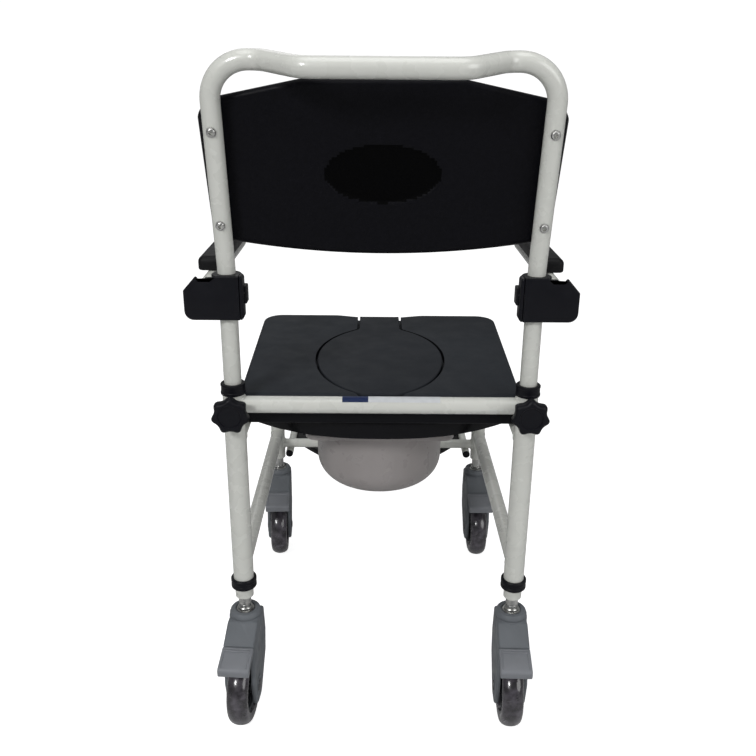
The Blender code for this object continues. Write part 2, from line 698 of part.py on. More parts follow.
def build_pan():
    """Round bowl with a square rim that rides in the carrier's runners."""
    corner = 0.0420
    outer = [(PAN_R, PAN_RIM_Z)]
    inner = [(PAN_R - PAN_WALL, PAN_RIM_Z)]
    for i in range(6):
        angle = math.pi / 2 * i / 5
        radius = PAN_R - 0.0015 - corner + corner * math.cos(angle)
        outer.append((radius, PAN_BOTTOM + corner - corner * math.sin(angle)))
        inside = corner - PAN_WALL
        radius = PAN_R - 0.0015 - corner + inside * math.cos(angle)
        inner.append((radius, PAN_BOTTOM + corner - inside * math.sin(angle)))
    outer.append((0.0, PAN_BOTTOM))
    inner.append((0.0, PAN_BOTTOM + PAN_WALL))
    profile = outer[::-1] + inner
    centre = Vector((0.0, PAN_Y, 0.0))
    mesh = turned_mesh("pan", profile, centre=centre, segments=32, closed=False)
    pan = add_object("pan", mesh, "pan_plastic")
    rear = PAN_Y + FLANGE_HALF
    front = PAN_Y - FLANGE_HALF
    rim = rounded([(FLANGE_HALF, front, 0.02), (FLANGE_HALF, rear, 0.02), (-FLANGE_HALF, rear, 0.02), (-FLANGE_HALF, front, 0.02)], 3)
    flange = prism_mesh("flange", rim, PAN_RIM_Z - FLANGE_THICKNESS, PAN_RIM_Z, flat)
    mouth = bar_mesh("mouth", (0.0, PAN_Y, 0.40), (0.0, PAN_Y, 0.50), PAN_R - 0.0012, segments=32)
    rim_body = add_object("rim_body", flange, "pan_plastic")
    combine(rim_body, ("DIFFERENCE", mouth))
    rim_mesh = rim_body.data
    bpy.data.objects.remove(rim_body)
    combine(pan, ("UNION", rim_mesh))


# ---------------------------------------------------------------- footrest

def build_footrest():
    """Footplate with a bowed rear edge, hung under two slides below the front crossbar."""
    steps = 12
    outline = [(FOOT_HALF - 0.020, FOOT_FRONT_Y), (FOOT_HALF, FOOT_FRONT_Y + 0.020)]
    for i in range(steps + 1):
        x = FOOT_HALF * (1.0 - 2.0 * i / steps)
        outline.append((x, FOOT_REAR_Y - 4.0 * x * x))
    outline += [(-FOOT_HALF, FOOT_FRONT_Y + 0.020), (-FOOT_HALF + 0.020, FOOT_FRONT_Y)]
    mesh = prism_mesh("footplate", outline, FOOT_TOP - FOOT_THICKNESS, FOOT_TOP, flat)
    plate = add_object("footplate", mesh, "black_moulding")
    for tag, side in SIDES.items():
        start = (side * SLIDE_X, SLIDE_REAR_Y, SLIDE_Z)
        end = (side * SLIDE_X, FOOT_FRONT_Y + 0.040, SLIDE_Z)
        slide = bar_mesh("slide", start, end, SLIDE_R, SLIDE_R - WALL)
        add_object(f"foot_slide_{tag}", slide, "powder_coat", parent=plate)


# ---------------------------------------------------------------- casters

def caster_meshes():
    """Meshes of one caster, trailing toward +Y, about its swivel axis."""
    axle = Vector((0.0, TRAIL, WHEEL_R))
    stem_profile = [(0.0, HOUSING_TOP + GAP), (STEM_R, HOUSING_TOP + GAP), (STEM_R, LEG_BOTTOM - GAP)]
    stem_profile += [(0.0105, LEG_BOTTOM - GAP), (0.0105, LEG_BOTTOM + GAP), (0.0124, LEG_BOTTOM + GAP)]
    stem_profile += [(0.0124, LEG_BOTTOM + 0.0300), (0.0, LEG_BOTTOM + 0.0300)]
    stem = turned_mesh("stem", stem_profile, segments=16, closed=False)

    tyre_profile = []
    half = WHEEL_WIDTH / 2
    for i in range(7):
        angle = math.pi * i / 6
        tyre_profile.append((WHEEL_R - TREAD_DEPTH * (1.0 - math.sin(angle)), -half * math.cos(angle)))
    tyre_profile += [(HUB_R + 0.0010, half - 0.0020), (HUB_R, half - 0.0050)]
    tyre_profile += [(HUB_R, -half + 0.0050), (HUB_R + 0.0010, -half + 0.0020)]
    tyre = turned_mesh("tyre", tyre_profile, X_AXIS, segments=20)

    bore = AXLE_R + GAP
    rim = HUB_R - GAP
    hub_profile = [(bore, -0.0150), (0.0140, -0.0150), (0.0180, -0.0060), (0.0310, -0.0060), (0.0360, -0.0100)]
    hub_profile += [(rim, -0.0100), (rim, 0.0100), (0.0360, 0.0100), (0.0310, 0.0060), (0.0180, 0.0060)]
    hub_profile += [(0.0140, 0.0150), (bore, 0.0150)]
    hub = turned_mesh("hub", hub_profile, X_AXIS, segments=20)

    axle_mesh = bar_mesh("axle", (-0.0255, 0.0, 0.0), (0.0255, 0.0, 0.0), AXLE_R, segments=12)
    return {"stem": stem, "tyre": tyre, "hub": hub, "axle": axle_mesh,
            "housing": housing_mesh(axle), "pedal": pedal_mesh()}


def housing_mesh(axle):
    """Turret, shell over the wheel and two cheeks that reach down past the axle."""
    side_view = [(-0.0250, 0.1740, 0.0040), (-0.0330, 0.1250, 0.0150), (-0.0260, 0.0850, 0.0200)]
    side_view += [(0.0180, 0.0330, 0.0180), (0.0540, 0.0330, 0.0180), (0.0660, 0.0850, 0.0250)]
    side_view += [(0.0595, 0.1180, 0.0060), (0.0595, 0.1550, 0.0020), (0.0240, 0.1740, 0.0040)]
    mesh = prism_mesh("housing", rounded(side_view, steps=2), -HOUSING_HALF, HOUSING_HALF, sideways)
    body = add_object("housing_body", mesh, "caster_grey")
    turret_profile = [(0.0, 0.1550), (0.0262, 0.1550), (0.0262, 0.1745), (0.0250, 0.1765)]
    turret_profile += [(0.0250, 0.1800), (0.0235, 0.1835), (0.0220, HOUSING_TOP), (0.0, HOUSING_TOP)]
    turret = turned_mesh("turret", turret_profile, segments=20, closed=False)
    wheel_well = bar_mesh("well", axle - X_AXIS * CAVITY_HALF, axle + X_AXIS * CAVITY_HALF, WHEEL_R + 0.0040, segments=28)
    hole = bar_mesh("hole", axle - X_AXIS * 0.04, axle + X_AXIS * 0.04, AXLE_R + GAP, segments=16)
    combine(body, ("UNION", turret), ("DIFFERENCE", wheel_well), ("DIFFERENCE", hole))
    mesh = body.data
    bpy.data.objects.remove(body)
    return mesh


def pedal_mesh():
    """Brake pedal that leans back over the wheel, with a rolled tip."""
    side_view = [(0.0605, 0.1545, 0.0020), (0.0605, 0.1470, 0.0010), (0.0860, 0.1350, 0.0100)]
    side_view += [(0.0965, 0.1290, 0.0020), (0.1010, 0.1295, 0.0020), (0.1015, 0.1355, 0.0040)]
    side_view += [(0.0880, 0.1420, 0.0100)]
    outline = [(a - PEDAL_HINGE.y, b - PEDAL_HINGE.z) for a, b in rounded(side_view, steps=3)]
    return prism_mesh("pedal", outline, -HOUSING_HALF, HOUSING_HALF, sideways)


def build_casters():
    """Four casters; each part's origin is on the axis that it turns about."""
    meshes = caster_meshes()
    finishes = {"stem": "steel", "tyre": "tyre_rubber", "hub": "hub_grey", "axle": "steel",
                "housing": "caster_grey", "pedal": "caster_grey"}
    axle = Vector((0.0, TRAIL, WHEEL_R))
    places = {"stem": Vector(), "housing": Vector(), "pedal": PEDAL_HINGE, "tyre": axle, "hub": axle, "axle": axle}
    for tag, (x, y, turn) in CASTERS.items():
        swivel = bpy.data.objects.new(f"swivel_{tag}", None)
        bpy.context.collection.objects.link(swivel)
        swivel.location = (x, y, 0.0)
        swivel.rotation_euler.z = -math.radians(turn)
        for part, mesh in meshes.items():
            add_object(f"caster_{part}_{tag}", mesh, finishes[part], places[part], swivel)


# ---------------------------------------------------------------- assembly

def build_chair():
    for obj in list(bpy.data.objects):
        bpy.data.objects.remove(obj)
    back_lift = bpy.data.objects.new("back_lift", None)
    bpy.context.collection.objects.link(back_lift)
    for tag, side in SIDES.items():
        build_rear_leg(tag, side)
        build_side_frame(tag, side)
        build_lower_rail(tag, side)
        build_post_bush(tag, side)
        build_leg_collar(tag, side)
        build_star_knob(tag, side)
        build_arm_bracket(tag, side, back_lift)
        build_arm(tag, side, back_lift)
    build_crossbar("crossbar_rear", POST_Y, REAR_BAR_Z, CROSS_R, POST_R)
    build_crossbar("crossbar_front", FRONT_Y, FRONT_BAR_Z, FRONT_BAR_R, LEG_R)
    build_back_frame(back_lift)
    build_backrest(back_lift)
    build_back_screws(back_lift)
    build_seat()
    build_pan_carrier()
    build_pan()
    build_footrest()
    build_casters()
    bpy.context.view_layer.update()


build_chair()
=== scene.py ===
"""Mobile shower commode chair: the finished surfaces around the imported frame.

Metres, +Z up.  The chair faces -Y, and +X is the sitter's left.
"""

from math import ceil, copysign, cos, exp, hypot, pi, radians, sin, sqrt, tan

import bmesh
import bpy
from mathutils import Matrix, Vector, noise


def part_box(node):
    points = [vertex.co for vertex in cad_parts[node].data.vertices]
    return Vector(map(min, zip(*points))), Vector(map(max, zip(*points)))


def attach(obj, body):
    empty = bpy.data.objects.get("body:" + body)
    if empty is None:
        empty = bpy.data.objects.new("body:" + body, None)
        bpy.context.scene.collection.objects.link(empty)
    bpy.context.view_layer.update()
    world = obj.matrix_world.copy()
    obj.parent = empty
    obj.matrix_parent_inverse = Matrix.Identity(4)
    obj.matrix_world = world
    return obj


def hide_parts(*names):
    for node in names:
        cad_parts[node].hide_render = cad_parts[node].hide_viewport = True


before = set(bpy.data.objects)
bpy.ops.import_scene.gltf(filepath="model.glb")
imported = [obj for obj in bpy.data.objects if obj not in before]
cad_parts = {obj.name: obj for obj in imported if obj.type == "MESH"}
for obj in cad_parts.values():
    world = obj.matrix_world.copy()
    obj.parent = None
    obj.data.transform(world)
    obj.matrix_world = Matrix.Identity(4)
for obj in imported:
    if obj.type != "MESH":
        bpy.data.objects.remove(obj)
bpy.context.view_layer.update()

X_AXIS = Vector((1.0, 0.0, 0.0))
Y_AXIS = Vector((0.0, 1.0, 0.0))
Z_AXIS = Vector((0.0, 0.0, 1.0))
ORIGIN = Vector((0.0, 0.0, 0.0))
SIDES = {"l": 1.0, "r": -1.0}


def middle(node):
    low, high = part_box(node)
    return [(a + b) / 2 for a, b in zip(low, high)]


# Frame sizes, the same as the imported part's
POST_X, POST_Y = middle("leg_collar_l")[:2]
FRONT_Y = middle("caster_stem_front_l")[1]
POST_R = 0.0159
LEG_R = 0.0143
BACK_R = 0.0127
CROSS_R = 0.0127
FRONT_BAR_R = 0.0095
WALL = 0.0015
LEG_BOTTOM = 0.2095
STEP_Z = 0.236
POST_TOP = 0.5575
REAR_BAR_Z = 0.54
SEAT_RAIL_Z = 0.4875
LOWER_RAIL_Z = 0.267
FRONT_BAR_Z = 0.242
FRONT_BEND = 0.06
KNOB_Z = 0.537
WELD_R = 0.0019
WELD_SPREAD = 1.02
WELD_RIPPLE = 0.0002
WELD_RIPPLES = 14
LABEL_R = CROSS_R + 0.0002
LABEL_THICKNESS = 0.00015
LABEL_LOW = radians(40.0)
LABEL_HIGH = radians(98.0)

SOCKET_Z = 0.46
RAKE_Z = 0.744
RAKE = radians(12.0)
HANDLE_Z = 1.013
HANDLE_DROP = 0.008
HANDLE_BOW = 0.058
BACK_HALF_WIDTH = 0.2393
BACK_TOP = 0.9925
BACK_BOTTOM = 0.764
BACK_THICKNESS = 0.026
SCREW_HEIGHTS = (0.8088, 0.9298)

ARM_X = 0.2565
ARM_Z = 0.703
ARM_R = 0.011
ARM_PIVOT_Y = POST_Y - 0.012
ARM_FRONT_Y = POST_Y - 0.385
PAD_X = 0.259
PAD_WIDTH = 0.037
PAD_THICKNESS = 0.022
PAD_REAR_Y = POST_Y - 0.105
PAD_LENGTH = 0.275
BRACKET_BOTTOM = 0.674
BRACKET_TOP = 0.7368
BRACKET_OUTER = 0.273
BRACKET_BACK_Y = POST_Y + 0.0215

SEAT_TOP = 0.55
SEAT_BOTTOM = SEAT_RAIL_Z + LEG_R + 0.0004
SEAT_REAR_Y = POST_Y - 0.0165
SEAT_DEPTH = 0.423
SEAT_REAR_HALF = 0.2105
SEAT_FRONT_HALF = 0.2225
LID_THICKNESS = 0.012
LID_SLIT = 0.0028
LID_NECK = 0.029
LID_TAB = 0.0385
LID_REAR_B = 0.174
LID_BLEND = 3
LID_LENGTH = 0.4065
OVAL_Y = POST_Y - 0.1905
OVAL_A = 0.104
OVAL_B = 0.154
HOLE_MARGIN = 0.013
CARRIER_BOTTOM = 0.4716
CARRIER_HALF = 0.1985
PAN_Y = POST_Y - 0.19
PAN_R = 0.108
PAN_RIM_Z = 0.4585
PAN_BOTTOM = 0.335
PAN_WALL = 0.0025
FLANGE_HALF = 0.119
FLANGE_THICKNESS = 0.01

FOOT_HALF = 0.198
FOOT_TOP = 0.216
FOOT_THICKNESS = 0.012
FOOT_REAR_Y = POST_Y - 0.453
FOOT_FRONT_Y = POST_Y - 0.7391
SLIDE_X = 0.19
SLIDE_R = 0.0078
SLIDE_Z = FOOT_TOP + 0.0003 + SLIDE_R
SLIDE_REAR_Y = FRONT_Y + 0.015

WHEEL_R = 0.0625
WHEEL_WIDTH = 0.034
TREAD_DEPTH = 0.012
HUB_R = 0.042
TRAIL = 0.036
AXLE_R = 0.006
HOUSING_TOP = 0.1856
HOUSING_HALF = 0.0245
CAVITY_HALF = 0.0185
STEM_R = 0.0098
CASTERS = {
    "rear_l": (POST_X, POST_Y, 4.0),
    "rear_r": (-POST_X, POST_Y, 2.0),
    "front_l": (POST_X, FRONT_Y, -3.0),
    "front_r": (-POST_X, FRONT_Y, -1.0),
}

CAMERA_AT = (0.0106, POST_Y + 1.1341, 1.009)
CAMERA_ANGLES = (-0.331, 20.61, 0.5)
CAMERA_LENS = 39.76
TUBE_SEGMENTS = 32
ARC_STEP = radians(6)


# ---- materials

class Paint:
    """A Principled material and its slot; the procedural detail is in metres on the object."""

    def __init__(self, name, slot, colour, roughness, **sockets):
        self.slot = slot
        self.material = bpy.data.materials.new(name)
        self.material.use_nodes = True
        self.nodes = self.material.node_tree.nodes
        self.links = self.material.node_tree.links
        self.shader = self.nodes["Principled BSDF"]
        self.colour = colour
        self.shader.inputs["Base Color"].default_value = (*colour, 1.0)
        self.shader.inputs["Roughness"].default_value = roughness
        self.set_inputs(self.shader, sockets)
        self.place = self.nodes.new("ShaderNodeTexCoord").outputs["Object"]

    @staticmethod
    def set_inputs(node, values):
        for key, value in values.items():
            node.inputs[key.replace("_", " ")].default_value = value

    def add(self, kind, **values):
        node = self.nodes.new(f"ShaderNode{kind}")
        self.set_inputs(node, values)
        return node

    def noise(self, scale, detail=3.0, stretch=None):
        source = self.place
        if stretch:
            mapping = self.add("Mapping", Scale=stretch)
            self.links.new(source, mapping.inputs["Vector"])
            source = mapping.outputs["Vector"]
        texture = self.add("TexNoise", Scale=scale, Detail=detail)
        self.links.new(source, texture.inputs["Vector"])
        return texture.outputs["Fac"]

    def cells(self, scale):
        texture = self.add("TexVoronoi", Scale=scale)
        self.links.new(self.place, texture.inputs["Vector"])
        return texture.outputs["Distance"]

    def spread(self, value, low, high, source=(0.3, 0.7)):
        """Remap a texture value onto a range."""
        remap = self.add("MapRange", From_Min=source[0], From_Max=source[1], To_Min=low, To_Max=high)
        self.links.new(value, remap.inputs["Value"])
        return remap.outputs["Result"]

    def vary_colour(self, value, low, high, source=(0.3, 0.7)):
        """Darken and lighten the colour between two factors."""
        mix = self.nodes.new("ShaderNodeMix")
        mix.data_type = "RGBA"
        mix.inputs["A"].default_value = (*[c * low for c in self.colour], 1.0)
        mix.inputs["B"].default_value = (*[min(1.0, c * high) for c in self.colour], 1.0)
        self.links.new(self.spread(value, 0.0, 1.0, source), mix.inputs["Factor"])
        self.links.new(mix.outputs["Result"], self.shader.inputs["Base Color"])

    def vary_roughness(self, value, low, high):
        self.links.new(self.spread(value, low, high), self.shader.inputs["Roughness"])

    def bump(self, *layers):
        """Stack (height value, depth in metres, strength) bumps."""
        normal = None
        for value, depth, strength in layers:
            node = self.add("Bump", Distance=depth, Strength=strength)
            self.links.new(value, node.inputs["Height"])
            if normal:
                self.links.new(normal, node.inputs["Normal"])
            normal = node.outputs["Normal"]
        self.links.new(normal, self.shader.inputs["Normal"])
        return self


def make_powder_coat():
    colour = (0.655, 0.662, 0.62)
    paint = Paint("powder_coat_white", "powder_coat", colour, 0.24, Coat_Weight=0.5, Coat_Roughness=0.04)
    paint.vary_colour(paint.noise(5.0), 0.98, 1.015)
    paint.vary_roughness(paint.noise(38.0), 0.2, 0.34)
    return paint.bump((paint.noise(240.0, 1.0), 0.0001, 0.05), (paint.noise(2600.0, 1.0), 0.00004, 0.1))


def make_skin(name, slot, colour, roughness, grain, strength, specular, blotch=0.06):
    """Self-skinned foam: fine pebble grain, faint flow marks and rubbed patches."""
    paint = Paint(name, slot, colour, roughness, Specular_IOR_Level=specular)
    paint.vary_colour(paint.noise(grain / 4, 5.0), 1.0 - blotch, 1.0 + blotch)
    paint.vary_roughness(paint.noise(30.0, 4.0), roughness - 0.05, roughness + 0.07)
    return paint.bump(
        (paint.noise(16.0, 2.0), 0.0008, 0.12),
        (paint.cells(grain), 0.00035, strength),
        (paint.noise(grain * 2.2, 2.0), 0.0001, 0.4),
    )


def make_moulding(name, slot, colour, roughness, specular, spark=760.0, strength=0.25):
    """Injection-moulded plastic with a spark-eroded texture."""
    paint = Paint(name, slot, colour, roughness, Specular_IOR_Level=specular)
    paint.vary_colour(paint.noise(20.0, 4.0), 0.92, 1.08)
    paint.vary_roughness(paint.noise(55.0, 3.0), roughness - 0.07, roughness + 0.09)
    return paint.bump((paint.noise(60.0, 2.0), 0.0004, 0.1), (paint.noise(spark, 3.0), 0.00012, strength))


def make_tyre():
    """Smoky polyurethane: dark and glassy, clouded where the core shows through."""
    colour = (0.042, 0.038, 0.046)
    paint = Paint("tyre_polyurethane", "tyre_rubber", colour, 0.16, Coat_Weight=0.6, Coat_Roughness=0.05)
    paint.vary_colour(paint.noise(70.0, 5.0), 0.55, 2.0, (0.4, 0.66))
    paint.vary_roughness(paint.noise(90.0, 4.0), 0.12, 0.3)
    return paint.bump((paint.noise(60.0, 3.0), 0.0004, 0.14), (paint.noise(500.0, 2.0), 0.00006, 0.15))


def make_steel(name, colour):
    paint = Paint(name, "steel", colour, 0.28, Metallic=1.0)
    paint.vary_colour(paint.noise(60.0, 3.0), 0.85, 1.08)
    paint.vary_roughness(paint.noise(80.0, 3.0), 0.2, 0.4)
    return paint.bump((paint.noise(90.0, 2.0, (1.0, 1.0, 18.0)), 0.00006, 0.35))


def make_pan_plastic():
    colour = (0.32, 0.296, 0.292)
    paint = Paint("pan_polypropylene", "pan_plastic", colour, 0.3, Coat_Weight=0.15, Coat_Roughness=0.2)
    paint.vary_colour(paint.noise(12.0, 3.0), 0.96, 1.05)
    paint.vary_roughness(paint.noise(40.0, 3.0), 0.24, 0.4)
    return paint.bump((paint.noise(30.0, 1.0), 0.0004, 0.06), (paint.noise(1100.0, 1.0), 0.00003, 0.12))


def make_label(name, colour):
    paint = Paint(name, "powder_coat", colour, 0.4, Specular_IOR_Level=0.25)
    paint.vary_colour(paint.noise(80.0, 3.0), 0.93, 1.05)
    return paint.bump((paint.noise(300.0, 2.0), 0.00005, 0.2))


POWDER = make_powder_coat()
SEAT_SKIN = make_skin("seat_skin", "seat_skin", (0.018, 0.0212, 0.0262), 0.62, 900.0, 0.45, 0.18)
LID_SKIN = make_skin("lid_skin", "seat_skin", (0.016, 0.0186, 0.0232), 0.6, 900.0, 0.45, 0.16)
# painted shade: a darker copy of the seat skin for the faces that face sideways or down, the seat's sides
# and the recess walls
SEAT_SIDE_SHADE_SKIN = make_skin("seat_side_painted_shade", "seat_skin", (0.005, 0.0052, 0.0068), 0.5, 900.0, 0.4, 0.12)
BACK_BLACK = (0.0034, 0.0034, 0.0052)
BACK_SKIN = make_skin("backrest_skin", "backrest_skin", BACK_BLACK, 0.42, 700.0, 0.4, 0.09, 0.15)
# painted shade: a near-black copy of the backrest skin for the inside of the oval recess, where shade falls
RECESS_SHADE_SKIN = make_skin("recess_painted_shade", "backrest_skin", (0.001, 0.001, 0.0012), 0.55, 700.0, 0.3, 0.04)
ARM_SKIN = make_skin("armpad_skin", "black_moulding", (0.005, 0.005, 0.0058), 0.5, 800.0, 0.4, 0.2)
NYLON = make_moulding("black_nylon", "black_moulding", (0.005, 0.0052, 0.0078), 0.38, 0.17)
TRAY = make_moulding("tray_black", "black_moulding", (0.003, 0.003, 0.0045), 0.17, 0.16, 420.0, 0.05)
FOOT = make_moulding("footplate_black", "black_moulding", (0.006, 0.006, 0.007), 0.48, 0.2, 520.0, 0.4)
CASTER = make_moulding("caster_nylon", "caster_grey", (0.14, 0.152, 0.166), 0.46, 0.3, 640.0, 0.35)
PEDAL = make_moulding("pedal_nylon", "caster_grey", (0.205, 0.214, 0.232), 0.44, 0.3, 640.0, 0.35)
HUB = make_moulding("hub_nylon", "hub_grey", (0.04, 0.043, 0.05), 0.42, 0.3)
TYRE = make_tyre()
STEEL = make_steel("zinc_steel", (0.56, 0.56, 0.545))
DARK_STEEL = make_steel("oiled_steel", (0.16, 0.16, 0.165))
PAN = make_pan_plastic()
LABEL_WHITE = make_label("label_white", (0.62, 0.64, 0.66))
LABEL_BLUE = make_label("label_blue", (0.004, 0.016, 0.075))


# ---- mesh helpers

def link(name, data):
    obj = bpy.data.objects.new(name, data)
    bpy.context.collection.objects.link(obj)
    return obj


def mesh_object(name, bm):
    bmesh.ops.remove_doubles(bm, verts=bm.verts, dist=1e-6)
    bmesh.ops.recalc_face_normals(bm, faces=bm.faces)
    mesh = bpy.data.meshes.new(name)
    bm.to_mesh(mesh)
    bm.free()
    return link(name, mesh)


def place(obj, paint, body, *nodes, angle=32.0):
    """Finish a piece: its material, its body and the nodes it stands for."""
    obj.data.materials.clear()
    obj.data.materials.append(paint.material)
    obj.data.shade_smooth()
    obj.data.set_sharp_from_angle(angle=radians(angle))
    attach(obj, body)
    if nodes:
        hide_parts(*nodes)


def bridge(bm, ring_a, ring_b):
    for i in range(len(ring_a)):
        j = (i + 1) % len(ring_a)
        bm.faces.new((ring_a[i], ring_a[j], ring_b[j], ring_b[i]))


def frames_along(path, loop=False):
    """Parallel-transported normals for a polyline, mitred at its corners."""
    points = [Vector(p) for p in path]
    count = len(points)
    tangents = []
    for i, point in enumerate(points):
        before = (point - points[i - 1]).normalized() if i or loop else None
        after = (points[(i + 1) % count] - point).normalized() if i + 1 < count or loop else None
        tangents.append(((before or after) + (after or before)).normalized())
    helper = Y_AXIS if abs(tangents[0].y) < 0.9 else Z_AXIS
    side = tangents[0].cross(helper).normalized()
    frames = []
    for i, tangent in enumerate(tangents):
        if i:
            side = (side - tangent * side.dot(tangent)).normalized()
        frames.append((points[i], side, tangent.cross(side)))
    return frames


def circle_points(centre, side, up, radius, segments):
    angles = [2 * pi * i / segments for i in range(segments)]
    return [centre + radius * (cos(t) * side + sin(t) * up) for t in angles]


def tube(name, path, radius, bore=0.0, segments=TUBE_SEGMENTS, loop=False, soft_end=0.0006):
    """A round bar, or a pipe when it has a bore, swept along a path, with softened ends."""
    bm = bmesh.new()
    frames = frames_along(path, loop)
    skins = []
    for r in [radius, bore] if bore else [radius]:
        skins.append([[bm.verts.new(p) for p in circle_points(*f, r, segments)] for f in frames])
    for rings in skins:
        for ring_a, ring_b in zip(rings, rings[1:]):
            bridge(bm, ring_a, ring_b)
        if loop:
            bridge(bm, rings[-1], rings[0])
    if not loop:
        for end in (0, -1):
            if bore:
                bridge(bm, skins[0][end], skins[1][end])
            else:
                bm.faces.new(skins[0][end])
    obj = mesh_object(name, bm)
    if soft_end and not loop:
        soften(obj, soft_end, 2, 60.0)
    return obj


def fillet(points, radii):
    """Replace each inner corner of a polyline by an arc of the given radius."""
    points = [Vector(p) for p in points]
    path = [points[0]]
    for before, corner, after, radius in zip(points, points[1:], points[2:], radii):
        into = (corner - before).normalized()
        out = (after - corner).normalized()
        turn = into.angle(out)
        start = corner - into * radius * tan(turn / 2)
        centre = start + (out - into * out.dot(into)).normalized() * radius
        axis = into.cross(out).normalized()
        steps = max(3, ceil(turn / ARC_STEP))
        for i in range(steps + 1):
            path.append(centre + Matrix.Rotation(turn * i / steps, 3, axis) @ (start - centre))
    path.append(points[-1])
    return path


def turned(name, profile, axis=Z_AXIS, centre=ORIGIN, segments=48):
    """Turn (radius, height) points about an axis; a profile that starts off the axis is a loop."""
    bm = bmesh.new()
    points = [bm.verts.new((radius, 0.0, height)) for radius, height in profile]
    edges = [bm.edges.new(pair) for pair in zip(points, points[1:])]
    if profile[0][0] > 0:
        edges.append(bm.edges.new((points[-1], points[0])))
    bmesh.ops.spin(bm, geom=points + edges, axis=Z_AXIS, angle=2 * pi, steps=segments, use_merge=True)
    bmesh.ops.remove_doubles(bm, verts=bm.verts, dist=1e-6)
    turn = axis.to_track_quat("Z", "Y").to_matrix().to_4x4()
    bmesh.ops.transform(bm, matrix=Matrix.Translation(centre) @ turn, verts=bm.verts)
    return mesh_object(name, bm)


def rounded(corners, steps=8):
    """A closed outline from (a, b, corner radius) points."""
    outline = []
    count = len(corners)
    for i, (a, b, radius) in enumerate(corners):
        corner = Vector((a, b))
        if radius == 0:
            outline.append((a, b))
            continue
        into = (corner - Vector(corners[i - 1][:2])).normalized()
        out = (Vector(corners[(i + 1) % count][:2]) - corner).normalized()
        turn = into.angle_signed(out) * -1
        start = corner - into * radius * tan(abs(turn) / 2)
        centre = start + Vector((-into.y, into.x)) * copysign(radius, turn)
        for k in range(steps + 1):
            arm = start - centre
            arm.rotate(Matrix.Rotation(turn * k / steps, 2))
            outline.append(tuple(centre + arm))
    return outline


def ellipse(a, b, centre_a, centre_b, segments=96):
    angles = [2 * pi * i / segments for i in range(segments)]
    return [(centre_a + a * cos(t), centre_b + b * sin(t)) for t in angles]


def shrink(outline, distance):
    """Move every point of an outline inwards along the mean of its two edges' normals."""
    count = len(outline)
    area = sum(outline[i][0] * outline[(i + 1) % count][1] - outline[(i + 1) % count][0] * outline[i][1]
               for i in range(count))
    sign = 1.0 if area > 0 else -1.0
    moved = []
    for i in range(count):
        here = Vector(outline[i])
        into = (here - Vector(outline[i - 1])).normalized()
        out = (Vector(outline[(i + 1) % count]) - here).normalized()
        normal = Vector((-into.y - out.y, into.x + out.x)).normalized() * sign
        spread = max(0.35, normal.dot(Vector((-into.y, into.x)) * sign))
        moved.append(tuple(here + normal * (distance / spread)))
    return moved


def flat(a, b, height):
    return Vector((a, b, height))


def upright(a, b, depth):
    return Vector((a, depth, b))


def sideways(a, b, width):
    return Vector((width, a, b))


def both_sides(add):
    for tag, side in SIDES.items():
        add(tag, side)


def upright_line(side):
    """Foot of a rear upright's centre line."""
    return Vector((side * POST_X, POST_Y, 0.0))


def rim(radius, steps):
    """Heights and insets from a flat face out to the full outline, round a quarter circle."""
    angles = [pi / 2 * i / steps for i in range(steps + 1)] if radius else [pi / 2]
    return [(radius * (1 - cos(t)), radius * (1 - sin(t))) for t in angles]


def slab(name, outline, low, high, where=flat, round_low=0.0, round_high=0.0, steps=5):
    """An outline extruded from low to high with rounded rims."""
    levels = [(low + rise, inset) for rise, inset in rim(round_low, steps)]
    levels += [(high - rise, inset) for rise, inset in reversed(rim(round_high, steps))]
    bm = bmesh.new()
    rings = []
    for height, inset in levels:
        ring = shrink(outline, inset) if inset else outline
        rings.append([bm.verts.new(where(a, b, height)) for a, b in ring])
    for ring_a, ring_b in zip(rings, rings[1:]):
        bridge(bm, ring_a, ring_b)
    bm.faces.new(rings[0])
    bm.faces.new(rings[-1])
    return mesh_object(name, bm)


def apply_modifiers(obj):
    bpy.context.view_layer.update()
    graph = bpy.context.evaluated_depsgraph_get()
    result = bpy.data.meshes.new_from_object(obj.evaluated_get(graph))
    obj.modifiers.clear()
    obj.data = result
    return obj


def combine(operation, obj, *tools):
    """Apply one Boolean operation with each tool; the tools are used up."""
    for tool in tools:
        modifier = obj.modifiers.new("Boolean", "BOOLEAN")
        modifier.operation = operation
        modifier.solver = "EXACT"
        modifier.object = tool
        apply_modifiers(obj)
        bpy.data.objects.remove(tool)


def fuse(obj, *tools):
    combine("UNION", obj, *tools)


def carve(obj, *tools):
    combine("DIFFERENCE", obj, *tools)


def soften(obj, width, segments=2, angle=50.0):
    """Bevel the sharp edges."""
    bevel = obj.modifiers.new("Bevel", "BEVEL")
    bevel.width = width
    bevel.segments = segments
    bevel.limit_method = "ANGLE"
    bevel.angle_limit = radians(angle)
    bevel.use_clamp_overlap = True
    return apply_modifiers(obj)


def bar(name, start, end, radius, bore=0.0, segments=TUBE_SEGMENTS):
    return tube(name, [start, end], radius, bore, segments, soft_end=0.0)


def joined(name, *objects):
    """Merge several meshes into the first object."""
    first = objects[0]
    bm = bmesh.new()
    for obj in objects:
        bm.from_mesh(obj.data)
    bm.to_mesh(first.data)
    bm.free()
    for obj in objects[1:]:
        bpy.data.objects.remove(obj)
    first.name = name
    return first


# ---- lower frame

